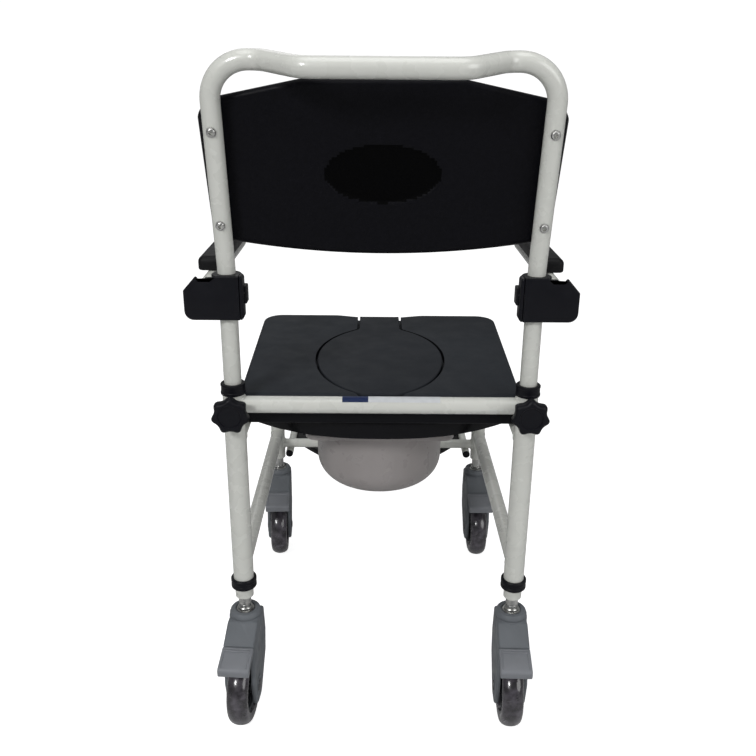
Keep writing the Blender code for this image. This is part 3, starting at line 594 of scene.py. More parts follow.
def weld_bead(name, centre, direction, radius, post_radius):
    """Fillet weld where a tube lying along direction meets an upright one."""
    direction = Vector(direction)
    across = direction.cross(Z_AXIS)
    points = []
    steps = 56
    for i in range(steps):
        t = 2 * pi * i / steps
        sideway = radius * cos(t)
        reach = sqrt(max(0.0, post_radius ** 2 - sideway ** 2))
        ripple = WELD_RIPPLE * sin(WELD_RIPPLES * t)
        offset = direction * (reach + ripple) + across * sideway * WELD_SPREAD
        points.append(Vector(centre) + offset + Z_AXIS * radius * WELD_SPREAD * sin(t))
    bead = tube(name, points, WELD_R, segments=10, loop=True)
    place(bead, POWDER, "frame", angle=80.0)


def add_rear_leg(tag, side):
    profile = [(LEG_R - 0.0006, LEG_BOTTOM), (LEG_R, LEG_BOTTOM + 0.0006), (LEG_R, STEP_Z)]
    profile += [(POST_R, STEP_Z), (POST_R, POST_TOP - 0.0006), (POST_R - 0.0005, POST_TOP)]
    profile += [(POST_R - WALL, POST_TOP), (POST_R - WALL, 0.25), (LEG_R - WALL, 0.25)]
    profile += [(LEG_R - WALL, LEG_BOTTOM)]
    centre = upright_line(side)
    leg = turned(f"rear_leg_tube_{tag}", profile, centre=centre, segments=44)
    knob = centre + Z_AXIS * KNOB_Z
    boss = bar("boss", knob + Y_AXIS * (POST_R - WALL / 2), knob + Y_AXIS * 0.0215, 0.0085)
    bore = bar("bore", knob + Y_AXIS * 0.01, knob + Y_AXIS * 0.03, 0.0044)
    fuse(leg, boss)
    carve(leg, bore)
    place(leg, POWDER, "frame", f"rear_leg_{tag}")


def add_side_frame(tag, side):
    x = side * POST_X
    start = (x, POST_Y - POST_R + 0.002, SEAT_RAIL_Z)
    path = fillet([start, (x, FRONT_Y, SEAT_RAIL_Z), (x, FRONT_Y, LEG_BOTTOM)], [FRONT_BEND])
    rail = tube(f"seat_rail_tube_{tag}", path, LEG_R, LEG_R - WALL)
    place(rail, POWDER, "frame", f"side_frame_{tag}")
    weld_bead(f"weld_seat_rail_{tag}", (x, POST_Y, SEAT_RAIL_Z), (0, -1, 0), LEG_R, POST_R)
    low = [(x, POST_Y - POST_R + 0.002, LOWER_RAIL_Z), (x, FRONT_Y + LEG_R - 0.002, LOWER_RAIL_Z)]
    lower = tube(f"lower_rail_tube_{tag}", low, CROSS_R - 0.0002, CROSS_R - WALL, soft_end=0.0)
    place(lower, POWDER, "frame", f"lower_rail_{tag}")
    weld_bead(f"weld_lower_rear_{tag}", (x, POST_Y, LOWER_RAIL_Z), (0, -1, 0), CROSS_R, POST_R)
    weld_bead(f"weld_lower_front_{tag}", (x, FRONT_Y, LOWER_RAIL_Z), (0, 1, 0), CROSS_R, LEG_R)


def add_crossbars():
    for name, y, z, radius, end in (
        ("rear", POST_Y, REAR_BAR_Z, CROSS_R, POST_R),
        ("front", FRONT_Y, FRONT_BAR_Z, FRONT_BAR_R, LEG_R),
    ):
        reach = POST_X - end + 0.002
        path = [(-reach, y, z), (reach, y, z)]
        crossbar = tube(f"crossbar_tube_{name}", path, radius - 0.0001, radius - WALL, soft_end=0.0)
        place(crossbar, POWDER, "frame", f"crossbar_{name}")
        for tag, side in SIDES.items():
            weld_bead(f"weld_{name}_bar_{tag}", (side * POST_X, y, z), (-side, 0, 0), radius, end)


def label_patch(name, start_x, end_x, paint):
    """A blank label wrapped round the top of the rear crossbar."""
    rows, columns = 12, 8
    stations = [start_x + (end_x - start_x) * k / columns for k in range(columns + 1)]
    bm = bmesh.new()
    grid = []
    for i in range(rows + 1):
        angle = LABEL_LOW + (LABEL_HIGH - LABEL_LOW) * i / rows
        y = POST_Y + LABEL_R * cos(angle)
        z = REAR_BAR_Z + LABEL_R * sin(angle)
        grid.append([bm.verts.new((x, y, z)) for x in stations])
    for row_a, row_b in zip(grid, grid[1:]):
        for k in range(columns):
            bm.faces.new((row_a[k], row_a[k + 1], row_b[k + 1], row_b[k]))
    patch = mesh_object(name, bm)
    solid = patch.modifiers.new("Solidify", "SOLIDIFY")
    solid.thickness = LABEL_THICKNESS
    solid.offset = 1.0
    place(apply_modifiers(patch), paint, "frame")


def add_collars(tag, side):
    centre = upright_line(side)
    inner = BACK_R + 0.0003
    sleeve = POST_R - WALL - 0.0003
    low = POST_TOP - 0.03
    top = POST_TOP + 0.017
    outside = [(sleeve, low), (sleeve, POST_TOP + 0.0003), (0.0176, POST_TOP + 0.0003)]
    outside += [(0.0182, POST_TOP + 0.0012)]
    outside += [(0.0182, POST_TOP + 0.004), (0.0175, POST_TOP + 0.005), (0.0174, top - 0.004)]
    outside += [(0.018, top - 0.0034), (0.018, top - 0.0012), (0.017, top), (inner + 0.0005, top)]
    profile = [(inner, low)] + outside + [(inner, top - 0.0006)]
    bush = turned(f"post_bush_moulding_{tag}", profile, centre=centre)
    start = centre + Vector((0.0, 0.005, KNOB_Z))
    carve(bush, bar("window", start, start + Y_AXIS * 0.02, 0.006))
    place(bush, NYLON, "frame", f"post_bush_{tag}")

    low = STEP_Z - 0.008
    high = STEP_Z + 0.0085
    ring = [(0.0192, low), (0.02, low + 0.001), (0.0201, low + 0.005), (0.0197, low + 0.0056)]
    ring += [(0.0197, low + 0.0096), (0.0201, low + 0.0102), (0.0201, high - 0.0014), (0.0192, high)]
    step = STEP_Z - 0.0003
    inside = [(POST_R + 0.0003, high), (POST_R + 0.0003, step), (LEG_R + 0.0003, step)]
    profile = [(LEG_R + 0.0003, low)] + ring + inside
    collar = turned(f"leg_collar_ring_{tag}", profile, centre=centre)
    place(collar, NYLON, "frame", f"leg_collar_{tag}")


def add_star_knob(tag, side):
    """Seven-lobed clamping knobs with a dished face and a moulded rim."""
    segments = 140
    lobes = 7
    back = 0.0226
    face = back + 0.021
    swell = 1.05
    sections = [
        (BACK_R + 0.0004, 0.0038, 0.0), (back, 0.004, 0.0), (back, 0.01, 0.0), (back + 0.0006, 0.0107, 0.0),
        (back + 0.0028, 0.0115, 0.0), (back + 0.0036, 0.019, 0.001), (back + 0.0042, 0.0222, 0.0017),
        (back + 0.006, 0.024, 0.0021), (back + 0.009, 0.0245, 0.0021), (face - 0.006, 0.0245, 0.0021),
        (face - 0.0032, 0.0238, 0.002), (face - 0.0014, 0.0224, 0.0016), (face - 0.0003, 0.0205, 0.0009),
        (face, 0.0185, 0.0), (face, 0.0166, 0.0), (face - 0.0003, 0.016, 0.0), (face - 0.0016, 0.0154, 0.0),
        (face - 0.002, 0.014, 0.0), (face - 0.0016, 0.007, 0.0), (face - 0.0015, 0.002, 0.0),
    ]
    bm = bmesh.new()
    rings = []
    for y, radius, depth in sections:
        ring = []
        for i in range(segments):
            angle = 2 * pi * i / segments
            wave = cos(lobes * angle)
            r = swell * (radius + depth * (wave - 0.25 * (1 - wave) * (wave + 1)))
            x = side * POST_X + r * sin(angle)
            ring.append(bm.verts.new((x, POST_Y + y, KNOB_Z + r * cos(angle))))
        rings.append(ring)
    for ring_a, ring_b in zip(rings, rings[1:]):
        bridge(bm, ring_a, ring_b)
    bm.faces.new(rings[0])
    bm.faces.new(rings[-1])
    knob = mesh_object(f"star_knob_moulding_{tag}", bm)
    place(knob, NYLON, f"knob_{tag}", f"star_knob_{tag}")


# ---- back frame and backrest

def back_line_y(z):
    return POST_Y + max(0.0, z - RAKE_Z) * tan(RAKE)


def add_back_frame():
    top_y = back_line_y(HANDLE_Z)
    half = [(POST_X, POST_Y, SOCKET_Z), (POST_X, POST_Y, RAKE_Z), (POST_X, top_y, HANDLE_Z)]
    half += [(0.15, top_y, HANDLE_Z), (0.098, top_y + HANDLE_BOW, HANDLE_Z - HANDLE_DROP)]
    mirrored = [(-x, y, z) for x, y, z in reversed(half)]
    radii = [0.055, 0.05, 0.03, 0.03]
    path = fillet(half + mirrored, radii + radii[::-1])
    back = tube("back_frame_tube", path, BACK_R, BACK_R - WALL)
    place(back, POWDER, "back", "back_frame")


def ramp(value, low, high):
    return min(1.0, max(0.0, (value - low) / (high - low)))


def ease(value, low, high):
    t = ramp(value, low, high)
    return t * t * (3 - 2 * t)


def backrest_edges(across):
    """Bottom and top heights of the backrest at a distance from its middle."""
    top = BACK_TOP - 0.0215 * ramp(across, 0.1, 0.205) - 0.006 * ramp(across, 0.205, 0.24)
    bottom = BACK_BOTTOM + 0.015 * (across / 0.21) ** 2
    corner = min(1.0, max(0.0, across - (BACK_HALF_WIDTH - 0.034)) / 0.034)
    bulge = 1.0 - sqrt(max(0.0, 1.0 - corner ** 2))
    return bottom + 0.024 * bulge, top - 0.026 * bulge


def backrest_rear(x, z):
    """Depth of the rear skin: crowned between the posts, wrapped forward outside them."""
    across = abs(x)
    touch = POST_X - BACK_R
    back = back_line_y(z) - BACK_R / cos(RAKE) - 0.0006
    if across < touch:
        return back + 0.01 * (1.0 - (across / touch) ** 2)
    return back - 0.45 * max(0.0, across - POST_X)


def add_backrest():
    """Moulded foam backrest: rolled edges, dished front and an oval recess with a fine rim, painted darker
    inside as shade.
    """
    columns, rows = 210, 104
    edge = 0.0085
    middle_z = 0.8745
    bm = bmesh.new()
    rear, front = [], []
    for i in range(columns + 1):
        s = sin(pi / 2 * (-1 + 2 * i / columns))
        u = BACK_HALF_WIDTH * s
        low, high = backrest_edges(abs(u))
        rear_column, front_column = [], []
        for k in range(rows + 1):
            t = 0.5 + 0.5 * sin(pi / 2 * (-1 + 2 * k / rows))
            z = low + (high - low) * t
            x = u * (1.0 - 0.16 * max(0.0, 0.95 - z))
            margin = min(BACK_HALF_WIDTH - abs(u), z - low, high - z)
            thickness = BACK_THICKNESS - 0.008 * (abs(u) / BACK_HALF_WIDTH) ** 2
            a = min(1.0, max(0.0, margin) / edge)
            fullness = sqrt(max(0.0, 1.0 - (1.0 - a) ** 2))
            rim = edge if thickness > 2 * edge else thickness / 2
            skin = backrest_rear(x, z)
            oval = hypot(x / 0.0775, (z - middle_z) / 0.04)
            away = (oval - 1.0) * 0.045
            dent = 0.0028 * ease(-away, 0.0, 0.003) - 0.0007 * exp(-((away - 0.0012) / 0.0016) ** 2)
            rear_y = skin - rim * (1.0 - fullness) - dent
            wave = 0.0006 * noise.noise(Vector((x * 9.0, z * 9.0, 1.3)))
            bow = sin(pi * t) ** 0.5 if 0 < t < 1 else 0.0
            dish = 0.004 * (1.0 - (u / BACK_HALF_WIDTH) ** 2) * bow
            front_y = skin - thickness + rim * (1.0 - fullness) + dish
            rear_column.append(bm.verts.new((x, rear_y + wave * fullness, z)))
            front_column.append(bm.verts.new((x, front_y, z)))
        rear.append(rear_column)
        front.append(front_column)
    for skin in (rear, front):
        for column_a, column_b in zip(skin, skin[1:]):
            for k in range(rows):
                bm.faces.new((column_a[k], column_b[k], column_b[k + 1], column_a[k + 1]))
    border = [(i, 0) for i in range(columns)] + [(columns, k) for k in range(rows)]
    border += [(columns - i, rows) for i in range(columns)] + [(0, rows - k) for k in range(rows)]
    for (i, k), (m, n) in zip(border, border[1:] + border[:1]):
        bm.faces.new((rear[i][k], rear[m][n], front[m][n], front[i][k]))
    backrest = mesh_object("backrest_cushion", bm)
    place(backrest, BACK_SKIN, "back", "backrest", angle=60.0)
    # painted shade: faces inside the oval recess take the near-black copy of the skin
    backrest.data.materials.append(RECESS_SHADE_SKIN.material)
    for polygon in backrest.data.polygons:
        x, y, z = polygon.center
        inside = hypot(x / 0.076, (z - middle_z) / 0.0385) < 1.0
        if inside and y > backrest_rear(x, z) - 0.01:
            polygon.material_index = 1


def add_back_screws(tag, side):
    out = Vector((0.0, cos(RAKE), -sin(RAKE)))
    for label, height in zip(("low", "high"), SCREW_HEIGHTS):
        centre = Vector((side * POST_X, back_line_y(height), height))
        seat = BACK_R + 0.0003
        head = [(0.003, seat), (0.0056, seat), (0.006, seat + 0.0006), (0.0058, seat + 0.0014)]
        head += [(0.005, seat + 0.0024), (0.0042, seat + 0.0029), (0.0022, seat + 0.003)]
        profile = [(0.0, -0.0255), (0.0023, -0.0255), (0.0025, -0.0245)] + head + [(0.0, seat + 0.003)]
        screw = turned(f"back_screw_steel_{label}_{tag}", profile, out, centre, segments=36)
        mouth = centre + out * (seat + 0.0009)
        carve(screw, bar("socket", mouth - out * 0.002, mouth + out * 0.01, 0.003, segments=6))
        place(screw, STEEL, "back", f"back_screw_{label}_{tag}")
        low, high = seat - 0.0002, seat + 0.0002
        washer = [(0.003, low), (0.0068, low), (0.0068, high), (0.003, high)]
        ring = turned(f"back_screw_seat_{label}_{tag}", washer, out, centre, segments=36)
        place(ring, STEEL, "back")


# ---- armrests

def sided_block(side, x0, x1, y0, y1, z0, z1):
    """A box given for the left side; the right one is its mirror."""
    x0, x1 = sorted((side * x0, side * x1))
    return slab("block", [(x0, y0), (x1, y0), (x1, y1), (x0, y1)], z0, z1)


def add_arm_bracket(tag, side):
    """Moulded clamp with a hub round the post and an open trough outboard."""
    face = [(0.1905, BRACKET_BOTTOM, 0.006), (BRACKET_OUTER, BRACKET_BOTTOM, 0.013)]
    face += [(BRACKET_OUTER, 0.716, 0.003), (0.2545, BRACKET_TOP, 0.002), (0.25, 0.731, 0.001)]
    face += [(0.2361, 0.731, 0.002)]
    face += [(0.229, BRACKET_TOP, 0.002), (0.1905, BRACKET_TOP, 0.005)]
    outline = [(side * a, b) for a, b in rounded(face, steps=6)]
    front = POST_Y - 0.03
    bracket = slab(f"arm_bracket_moulding_{tag}", outline, BRACKET_BACK_Y - 0.02, BRACKET_BACK_Y, upright,
                   round_high=0.0022)
    hub_profile = [(0.0, BRACKET_BOTTOM), (0.02, BRACKET_BOTTOM), (0.021, BRACKET_BOTTOM + 0.001)]
    hub_profile += [(0.021, BRACKET_TOP - 0.002), (0.02, BRACKET_TOP - 0.001), (0.0, BRACKET_TOP - 0.001)]
    centre = upright_line(side)
    hub = turned("hub", hub_profile, centre=centre)
    cheek_low = BRACKET_BOTTOM + 0.0004
    cheek = [(0.225, cheek_low, 0.002), (BRACKET_OUTER, cheek_low, 0.012)]
    cheek += [(BRACKET_OUTER, 0.7158, 0.003), (0.225, 0.7158, 0.002)]
    outline = [(side * a, b) for a, b in rounded(cheek, 5)]
    cheeks = slab("cheeks", outline, front, POST_Y + 0.01, upright, round_low=0.002)
    ear = sided_block(side, 0.187, 0.2, POST_Y - 0.0095, POST_Y + 0.0105, 0.695, 0.7205)
    soften(ear, 0.002, 3)
    trough = sided_block(side, 0.244, 0.269, front - 0.01, BRACKET_BACK_Y - 0.0035, 0.6838, 0.76)
    lip = sided_block(side, 0.2435, 0.2695, front, front + 0.006, 0.68, ARM_Z - ARM_R - 0.0004)
    bore = bar("bore", centre + Z_AXIS * 0.66, centre + Z_AXIS * 0.75, BACK_R + 0.0003)
    pin_y = Vector((0.0, ARM_PIVOT_Y, ARM_Z))
    pin = bar("pin", pin_y + X_AXIS * side * 0.22, pin_y + X_AXIS * side * 0.29, 0.0043)
    slit = sided_block(side, 0.195, 0.1962, POST_Y + 0.008, BRACKET_BACK_Y + 0.01, 0.66, 0.75)
    fuse(bracket, hub, cheeks, ear)
    carve(bracket, trough)
    fuse(bracket, lip)
    carve(bracket, bore, pin, slit)
    soften(bracket, 0.0007, 2, 55.0)
    place(bracket, NYLON, "back", f"arm_bracket_{tag}")
    head = [(0.0, 0.0), (0.0042, 0.0), (0.0044, 0.0006), (0.0038, 0.0018), (0.0024, 0.0024)]
    head += [(0.0, 0.0024)]
    bolt_at = Vector((side * 0.1946, POST_Y + 0.0105, 0.7108))
    bolt = turned(f"bracket_bolt_{tag}", head, Y_AXIS, bolt_at, segments=28)
    place(bolt, STEEL, "back")


def add_arm_pad(tag, side):
    """Moulded pad with rounded shoulders and a fine seam where its flat top begins."""
    half = PAD_WIDTH / 2
    low = ARM_Z + ARM_R + 0.0003
    high = low + PAD_THICKNESS
    front_y = PAD_REAR_Y - PAD_LENGTH
    centre_x = side * PAD_X
    corners = [(centre_x - half, front_y, 0.014), (centre_x + half, front_y, 0.014)]
    corners += [(centre_x + half, PAD_REAR_Y, 0.009), (centre_x - half, PAD_REAR_Y, 0.009)]
    pad = slab(f"arm_pad_cushion_{tag}", rounded(corners), low, high - 0.0008, flat, 0.003, 0.0085, 7)
    bm = bmesh.new()
    bm.from_mesh(pad.data)
    ends = [face for face in bm.faces if len(face.verts) > 4]
    seam = {vertex.index for face in ends for vertex in face.verts}
    top = [face for face in ends if face.normal.z > 0.5]
    bmesh.ops.inset_region(bm, faces=top, thickness=0.004)
    for vertex in bm.verts:
        if vertex.co.z > high - 0.0012 and vertex.index not in seam:
            vertex.co.z += 0.0006
    bm.to_mesh(pad.data)
    bm.free()
    place(pad, ARM_SKIN, f"arm_{tag}", f"arm_pad_{tag}", angle=50.0)


def end_plug(name, radius, lip, length, axis, at, body, segments):
    """Black plug in a tube's end; lip lists its (radius, height) points outside the tube."""
    sleeve = radius - WALL - 0.0002
    profile = [(0.0, -length), (sleeve, -length), (sleeve, 0.0), (radius, 0.0)] + lip
    plug = turned(name, profile, axis, at, segments)
    place(plug, NYLON, body)


def add_arm(tag, side):
    body = f"arm_{tag}"
    front = Vector((side * ARM_X, ARM_FRONT_Y + 0.002, ARM_Z))
    arm = tube(f"arm_rail_{tag}", [(front.x, ARM_PIVOT_Y + 0.011, ARM_Z), front], ARM_R, ARM_R - WALL)
    place(arm, POWDER, body, f"arm_tube_{tag}")
    lip = [(ARM_R - 0.0003, 0.0012), (ARM_R - 0.002, 0.0019), (0.0, 0.002)]
    end_plug(f"arm_plug_{tag}", ARM_R, lip, 0.006, -Y_AXIS, front, body, 36)
    add_arm_pad(tag, side)
    head = [(0.0, 0.0), (0.004, 0.0), (0.004, 0.0388), (0.0034, 0.0396), (0.0, 0.0396)]
    pin_at = Vector((side * 0.2346, ARM_PIVOT_Y, ARM_Z))
    pin = turned(f"arm_pin_steel_{tag}", head, X_AXIS * side, pin_at, 28)
    place(pin, STEEL, "back", f"arm_pin_{tag}")


# ---- seat, lid, pan

HOLE_OUTLINE = ellipse(OVAL_A - HOLE_MARGIN, OVAL_B - HOLE_MARGIN, 0.0, OVAL_Y)


def lid_half_width(y):
    """The lid: an oval that runs into a narrow neck at the rear and a tab at the front."""
    reach = LID_REAR_B if y > OVAL_Y else OVAL_B
    inside = 1.0 - ((y - OVAL_Y) / reach) ** 2
    oval = OVAL_A * sqrt(inside) if inside > 0 else 0.0
    forward = max(0.0, OVAL_Y - y) / OVAL_B
    tab = LID_NECK + (LID_TAB - LID_NECK) * min(1.0, forward)
    return (oval ** LID_BLEND + tab ** LID_BLEND) ** (1 / LID_BLEND)


def lid_outline(grow, overrun=0.0):
    steps = 150
    rear = SEAT_REAR_Y - 0.001
    stations = [rear - LID_LENGTH * (0.5 - 0.5 * cos(pi * i / steps)) for i in range(steps + 1)]
    widths = [lid_half_width(y) + grow for y in stations]
    stations[0] += overrun
    stations[-1] -= overrun
    right = list(zip(widths, stations))
    return right + [(-x, y) for x, y in reversed(right)]


def add_seat():
    front = SEAT_REAR_Y - SEAT_DEPTH
    corners = [(SEAT_FRONT_HALF, front, 0.036), (SEAT_REAR_HALF, SEAT_REAR_Y, 0.014)]
    corners += [(-SEAT_REAR_HALF, SEAT_REAR_Y, 0.014), (-SEAT_FRONT_HALF, front, 0.036)]
    seat = slab("seat_cushion", rounded(corners, 12), SEAT_BOTTOM, SEAT_TOP, flat, 0.005, 0.0075, 6)
    ledge = SEAT_TOP - LID_THICKNESS - 0.0003
    recess = slab("recess", lid_outline(LID_SLIT, 0.03), ledge, SEAT_TOP + 0.01)
    hole = slab("aperture", HOLE_OUTLINE, SEAT_BOTTOM - 0.01, SEAT_TOP)
    edge = front + 0.0002
    dip = [(0.15, front - 0.01, 0.0), (0.15, edge, 0.0), (0.1, edge, 0.07), (0.03, front + 0.022, 0.0)]
    dip += [(-a, b, radius) for a, b, radius in reversed(dip)]
    notch = slab("notch", rounded(dip, 10), ledge, SEAT_TOP + 0.01)
    carve(seat, recess, hole, notch)
    soften(seat, 0.0016, 3, 55.0)
    place(seat, SEAT_SKIN, "frame", "seat", angle=40.0)
    # painted shade: faces that face sideways or down (the seat's sides and the walls of the recess and slit)
    # take the darker copy of the skin
    seat.data.materials.append(SEAT_SIDE_SHADE_SKIN.material)
    for polygon in seat.data.polygons:
        if polygon.normal.z < 0.4:
            polygon.material_index = 1
    low, high = SEAT_TOP - LID_THICKNESS, SEAT_TOP + 0.0005
    lid = slab("seat_lid_cushion", lid_outline(-0.001), low, high, flat, 0.001, 0.0022)
    place(lid, LID_SKIN, "lid", "seat_lid", angle=45.0)


def carrier_outline(inset=0.0):
    """The tray: straight at the front and sides, bowed at the rear."""
    half = CARRIER_HALF - inset
    rear_middle = POST_Y - 0.029 - inset
    front = SEAT_REAR_Y - SEAT_DEPTH + 0.03 + inset
    steps = 72
    outline = [(half, front)]
    for i in range(steps + 1):
        x = half * cos(pi * i / steps)
        outline.append((x, rear_middle - 0.056 * (abs(x) / 0.187) ** 2.4))
    outline.append((-half, front))
    return outline


def add_pan_carrier():
    top = SEAT_BOTTOM - 0.0003
    web = top - 0.004
    carrier = slab("pan_carrier_tray", carrier_outline(), CARRIER_BOTTOM, top)
    hollow = slab("hollow", carrier_outline(0.004), CARRIER_BOTTOM - 0.01, web)
    hole = slab("aperture", HOLE_OUTLINE, web - 0.01, top + 0.01)
    carve(carrier, hollow, hole)
    low = PAN_RIM_Z - FLANGE_THICKNESS - 0.0033
    for side in SIDES.values():
        section = [(0.113, low), (0.124, low), (0.124, web + 0.002), (0.1197, web + 0.002)]
        section += [(0.1197, low + 0.003), (0.113, low + 0.003)]
        outline = [(side * a, b) for a, b in section]
        fuse(carrier, slab("runner", outline, POST_Y - 0.315, POST_Y - 0.1, upright))
    soften(carrier, 0.0012, 2, 45.0)
    place(carrier, TRAY, "frame", "pan_carrier")


def add_pan():
    corner = 0.042
    outer = [(PAN_R, PAN_RIM_Z - 0.0006), (PAN_R, PAN_RIM_Z - 0.02)]
    inner = [(PAN_R - PAN_WALL, PAN_RIM_Z - 0.0006), (PAN_R - PAN_WALL, PAN_RIM_Z - 0.02)]
    steps = 18
    for i in range(steps + 1):
        angle = pi / 2 * i / steps
        for profile, reach in ((outer, corner), (inner, corner - PAN_WALL)):
            radius = PAN_R - 0.0015 - corner + reach * cos(angle)
            profile.append((radius, PAN_BOTTOM + corner - reach * sin(angle)))
    outer.append((0.0, PAN_BOTTOM))
    inner.append((0.0, PAN_BOTTOM + PAN_WALL))
    profile = outer[::-1] + [(PAN_R - PAN_WALL * 0.5, PAN_RIM_Z)] + inner
    bowl = turned("bowl", profile, centre=Vector((0.0, PAN_Y, 0.0)), segments=96)
    rear = PAN_Y + FLANGE_HALF
    front = PAN_Y - FLANGE_HALF
    corners = [(x, y, 0.02) for x, y in ((FLANGE_HALF, front), (FLANGE_HALF, rear), (-FLANGE_HALF, rear),
                                         (-FLANGE_HALF, front))]
    flange = slab("flange", rounded(corners), PAN_RIM_Z - FLANGE_THICKNESS, PAN_RIM_Z, flat, 0.002, 0.002, 4)
    carve(flange, bar("mouth", (0.0, PAN_Y, 0.4), (0.0, PAN_Y, 0.5), PAN_R - 0.0012, segments=96))
    fuse(bowl, flange)
    bowl.name = "pan_bowl"
    place(bowl, PAN, "pan", "pan", angle=40.0)


# ---- footrest

def add_footrest():
    steps = 60
    outline = [(FOOT_HALF - 0.02, FOOT_FRONT_Y), (FOOT_HALF, FOOT_FRONT_Y + 0.02)]
    for i in range(steps + 1):
        x = FOOT_HALF * (1.0 - 2.0 * i / steps)
        outline.append((x, FOOT_REAR_Y - 4.0 * x * x))
    outline += [(-FOOT_HALF, FOOT_FRONT_Y + 0.02), (-FOOT_HALF + 0.02, FOOT_FRONT_Y)]
    plate = slab("footplate_moulding", outline, FOOT_TOP - FOOT_THICKNESS, FOOT_TOP, flat, 0.0025, 0.0025)
    place(plate, FOOT, "footrest", "footplate")
    for tag, side in SIDES.items():
        path = [(side * SLIDE_X, SLIDE_REAR_Y, SLIDE_Z), (side * SLIDE_X, FOOT_FRONT_Y + 0.04, SLIDE_Z)]
        slide = tube(f"foot_slide_tube_{tag}", path, SLIDE_R, SLIDE_R - WALL)
        place(slide, POWDER, "footrest", f"foot_slide_{tag}")
        lip = [(SLIDE_R - 0.0002, 0.0016), (SLIDE_R - 0.0016, 0.0026), (0.0, 0.003)]
        for end, at, axis in (("rear", path[0], Y_AXIS), ("front", path[1], -Y_AXIS)):
            end_plug(f"slide_plug_{end}_{tag}", SLIDE_R, lip, 0.008, axis, Vector(at), "footrest", 32)


# ---- casters

def caster_housing():
    """Hood over the wheel with two cheeks, a ringed turret and an axle boss on each side."""
    side_view = [(-0.025, 0.174, 0.006), (-0.033, 0.125, 0.018), (-0.026, 0.085, 0.022)]
    side_view += [(0.018, 0.033, 0.019), (0.054, 0.033, 0.019), (0.066, 0.085, 0.025)]
    side_view += [(0.0595, 0.118, 0.006), (0.0595, 0.155, 0.002), (0.024, 0.174, 0.006)]
    body = slab("housing", rounded(side_view, 7), -HOUSING_HALF, HOUSING_HALF, sideways, 0.0035, 0.0035)
    rings = [(0.0, 0.155), (0.0262, 0.155), (0.0262, 0.173), (0.0254, 0.1745), (0.0244, 0.175)]
    rings += [(0.0244, 0.1762), (0.0252, 0.1768), (0.0252, 0.1796), (0.0246, 0.1806), (0.0234, 0.1842)]
    floor = HOUSING_TOP - 0.003
    rings += [(0.0224, 0.1853), (0.0212, HOUSING_TOP), (0.0158, HOUSING_TOP), (0.015, floor), (0.0, floor)]
    turret = turned("turret", rings, segments=56)
    axle = Vector((0.0, TRAIL, WHEEL_R))
    well_radius = WHEEL_R + 0.004
    half_well = [(0.0, CAVITY_HALF), (well_radius - 0.004, CAVITY_HALF), (well_radius, CAVITY_HALF - 0.004)]
    well_profile = [(radius, -u) for radius, u in half_well] + half_well[::-1]
    well = turned("well", well_profile, X_AXIS, axle, segments=88)
    hole = bar("hole", axle - X_AXIS * 0.04, axle + X_AXIS * 0.04, AXLE_R + 0.0003)
    fuse(body, turret)
    carve(body, well, hole)
    soften(body, 0.0009, 2, 50.0)
    boss = [(0.01, 0.0), (0.017, 0.0), (0.0172, 0.0003), (0.0162, 0.0011), (0.0112, 0.0011)]
    boss += [(0.01, 0.0006)]
    bosses = []
    for sign in (1.0, -1.0):
        at = axle + X_AXIS * sign * (HOUSING_HALF - 0.0002)
        bosses.append(turned("boss", boss, X_AXIS * sign, at, segments=40))
    return joined("housing", body, *bosses)


def caster_pedal():
    """Brake pedal: a broad tread with cross ribs and a rolled tip."""
    side_view = [(0.0605, 0.155, 0.002), (0.0605, 0.147, 0.001), (0.086, 0.138, 0.01)]
    side_view += [(0.096, 0.1292, 0.002), (0.1012, 0.129, 0.0025), (0.1025, 0.1425, 0.006)]
    half = HOUSING_HALF
    body = slab("pedal", rounded(side_view, 6), -half, half, sideways, 0.002, 0.002, 4)
    trims = [bar("rib", (0.0045 - half, v, z), (half - 0.0045, v, z), 0.0014, segments=16)
             for v, z in ((0.0648, 0.1538), (0.069, 0.1526))]
    rail = [(0.064, 0.1535), (0.064, 0.1549), (0.0975, 0.145), (0.0985, 0.1432)]
    for low in (0.0036 - half, half - 0.0052):
        trims.append(slab("rail", rail, low, low + 0.0016, sideways, 0.0005, 0.0005, 2))
    return joined("pedal", body, *trims)


def caster_tyre():
    half = WHEEL_WIDTH / 2
    profile = []
    for i in range(33):
        t = pi * i / 32
        bulge = sin(t) ** 0.85
        profile.append((WHEEL_R - TREAD_DEPTH * (1.0 - bulge), -half * cos(t)))
    wall = [(HUB_R + 0.004, half - 0.0006), (HUB_R + 0.0012, half - 0.0016), (HUB_R, half - 0.005)]
    profile += wall + [(r, -u) for r, u in reversed(wall)]
    return turned("tyre", profile, X_AXIS, segments=96)


def caster_hub():
    """Two-sided disc with a raised rim, a bearing boss and six webs."""
    bore = AXLE_R + 0.0003
    rim = HUB_R - 0.0003
    half_profile = [(bore, 0.015), (0.012, 0.015), (0.013, 0.0143), (0.0138, 0.007), (0.016, 0.005)]
    half_profile += [(0.031, 0.004), (0.035, 0.006), (0.0365, 0.0112), (0.038, 0.012), (rim, 0.012)]
    other = [(r, -h) for r, h in reversed(half_profile)]
    disc = turned("hub", half_profile + other, X_AXIS, segments=80)
    webs = []
    for i in range(6):
        turn = Matrix.Rotation(pi * i / 3 + 0.2, 4, "X")
        for sign in (1.0, -1.0):
            outline = [(0.0125, 0.0), (0.0362, 0.0), (0.0362, 0.0085), (0.0125, 0.0115)]
            web = slab("web", outline, -0.0014, 0.0014, lambda a, b, h, s=sign: Vector((s * b, h, a)))
            web.data.transform(turn)
            webs.append(web)
    return joined("hub", disc, *webs)


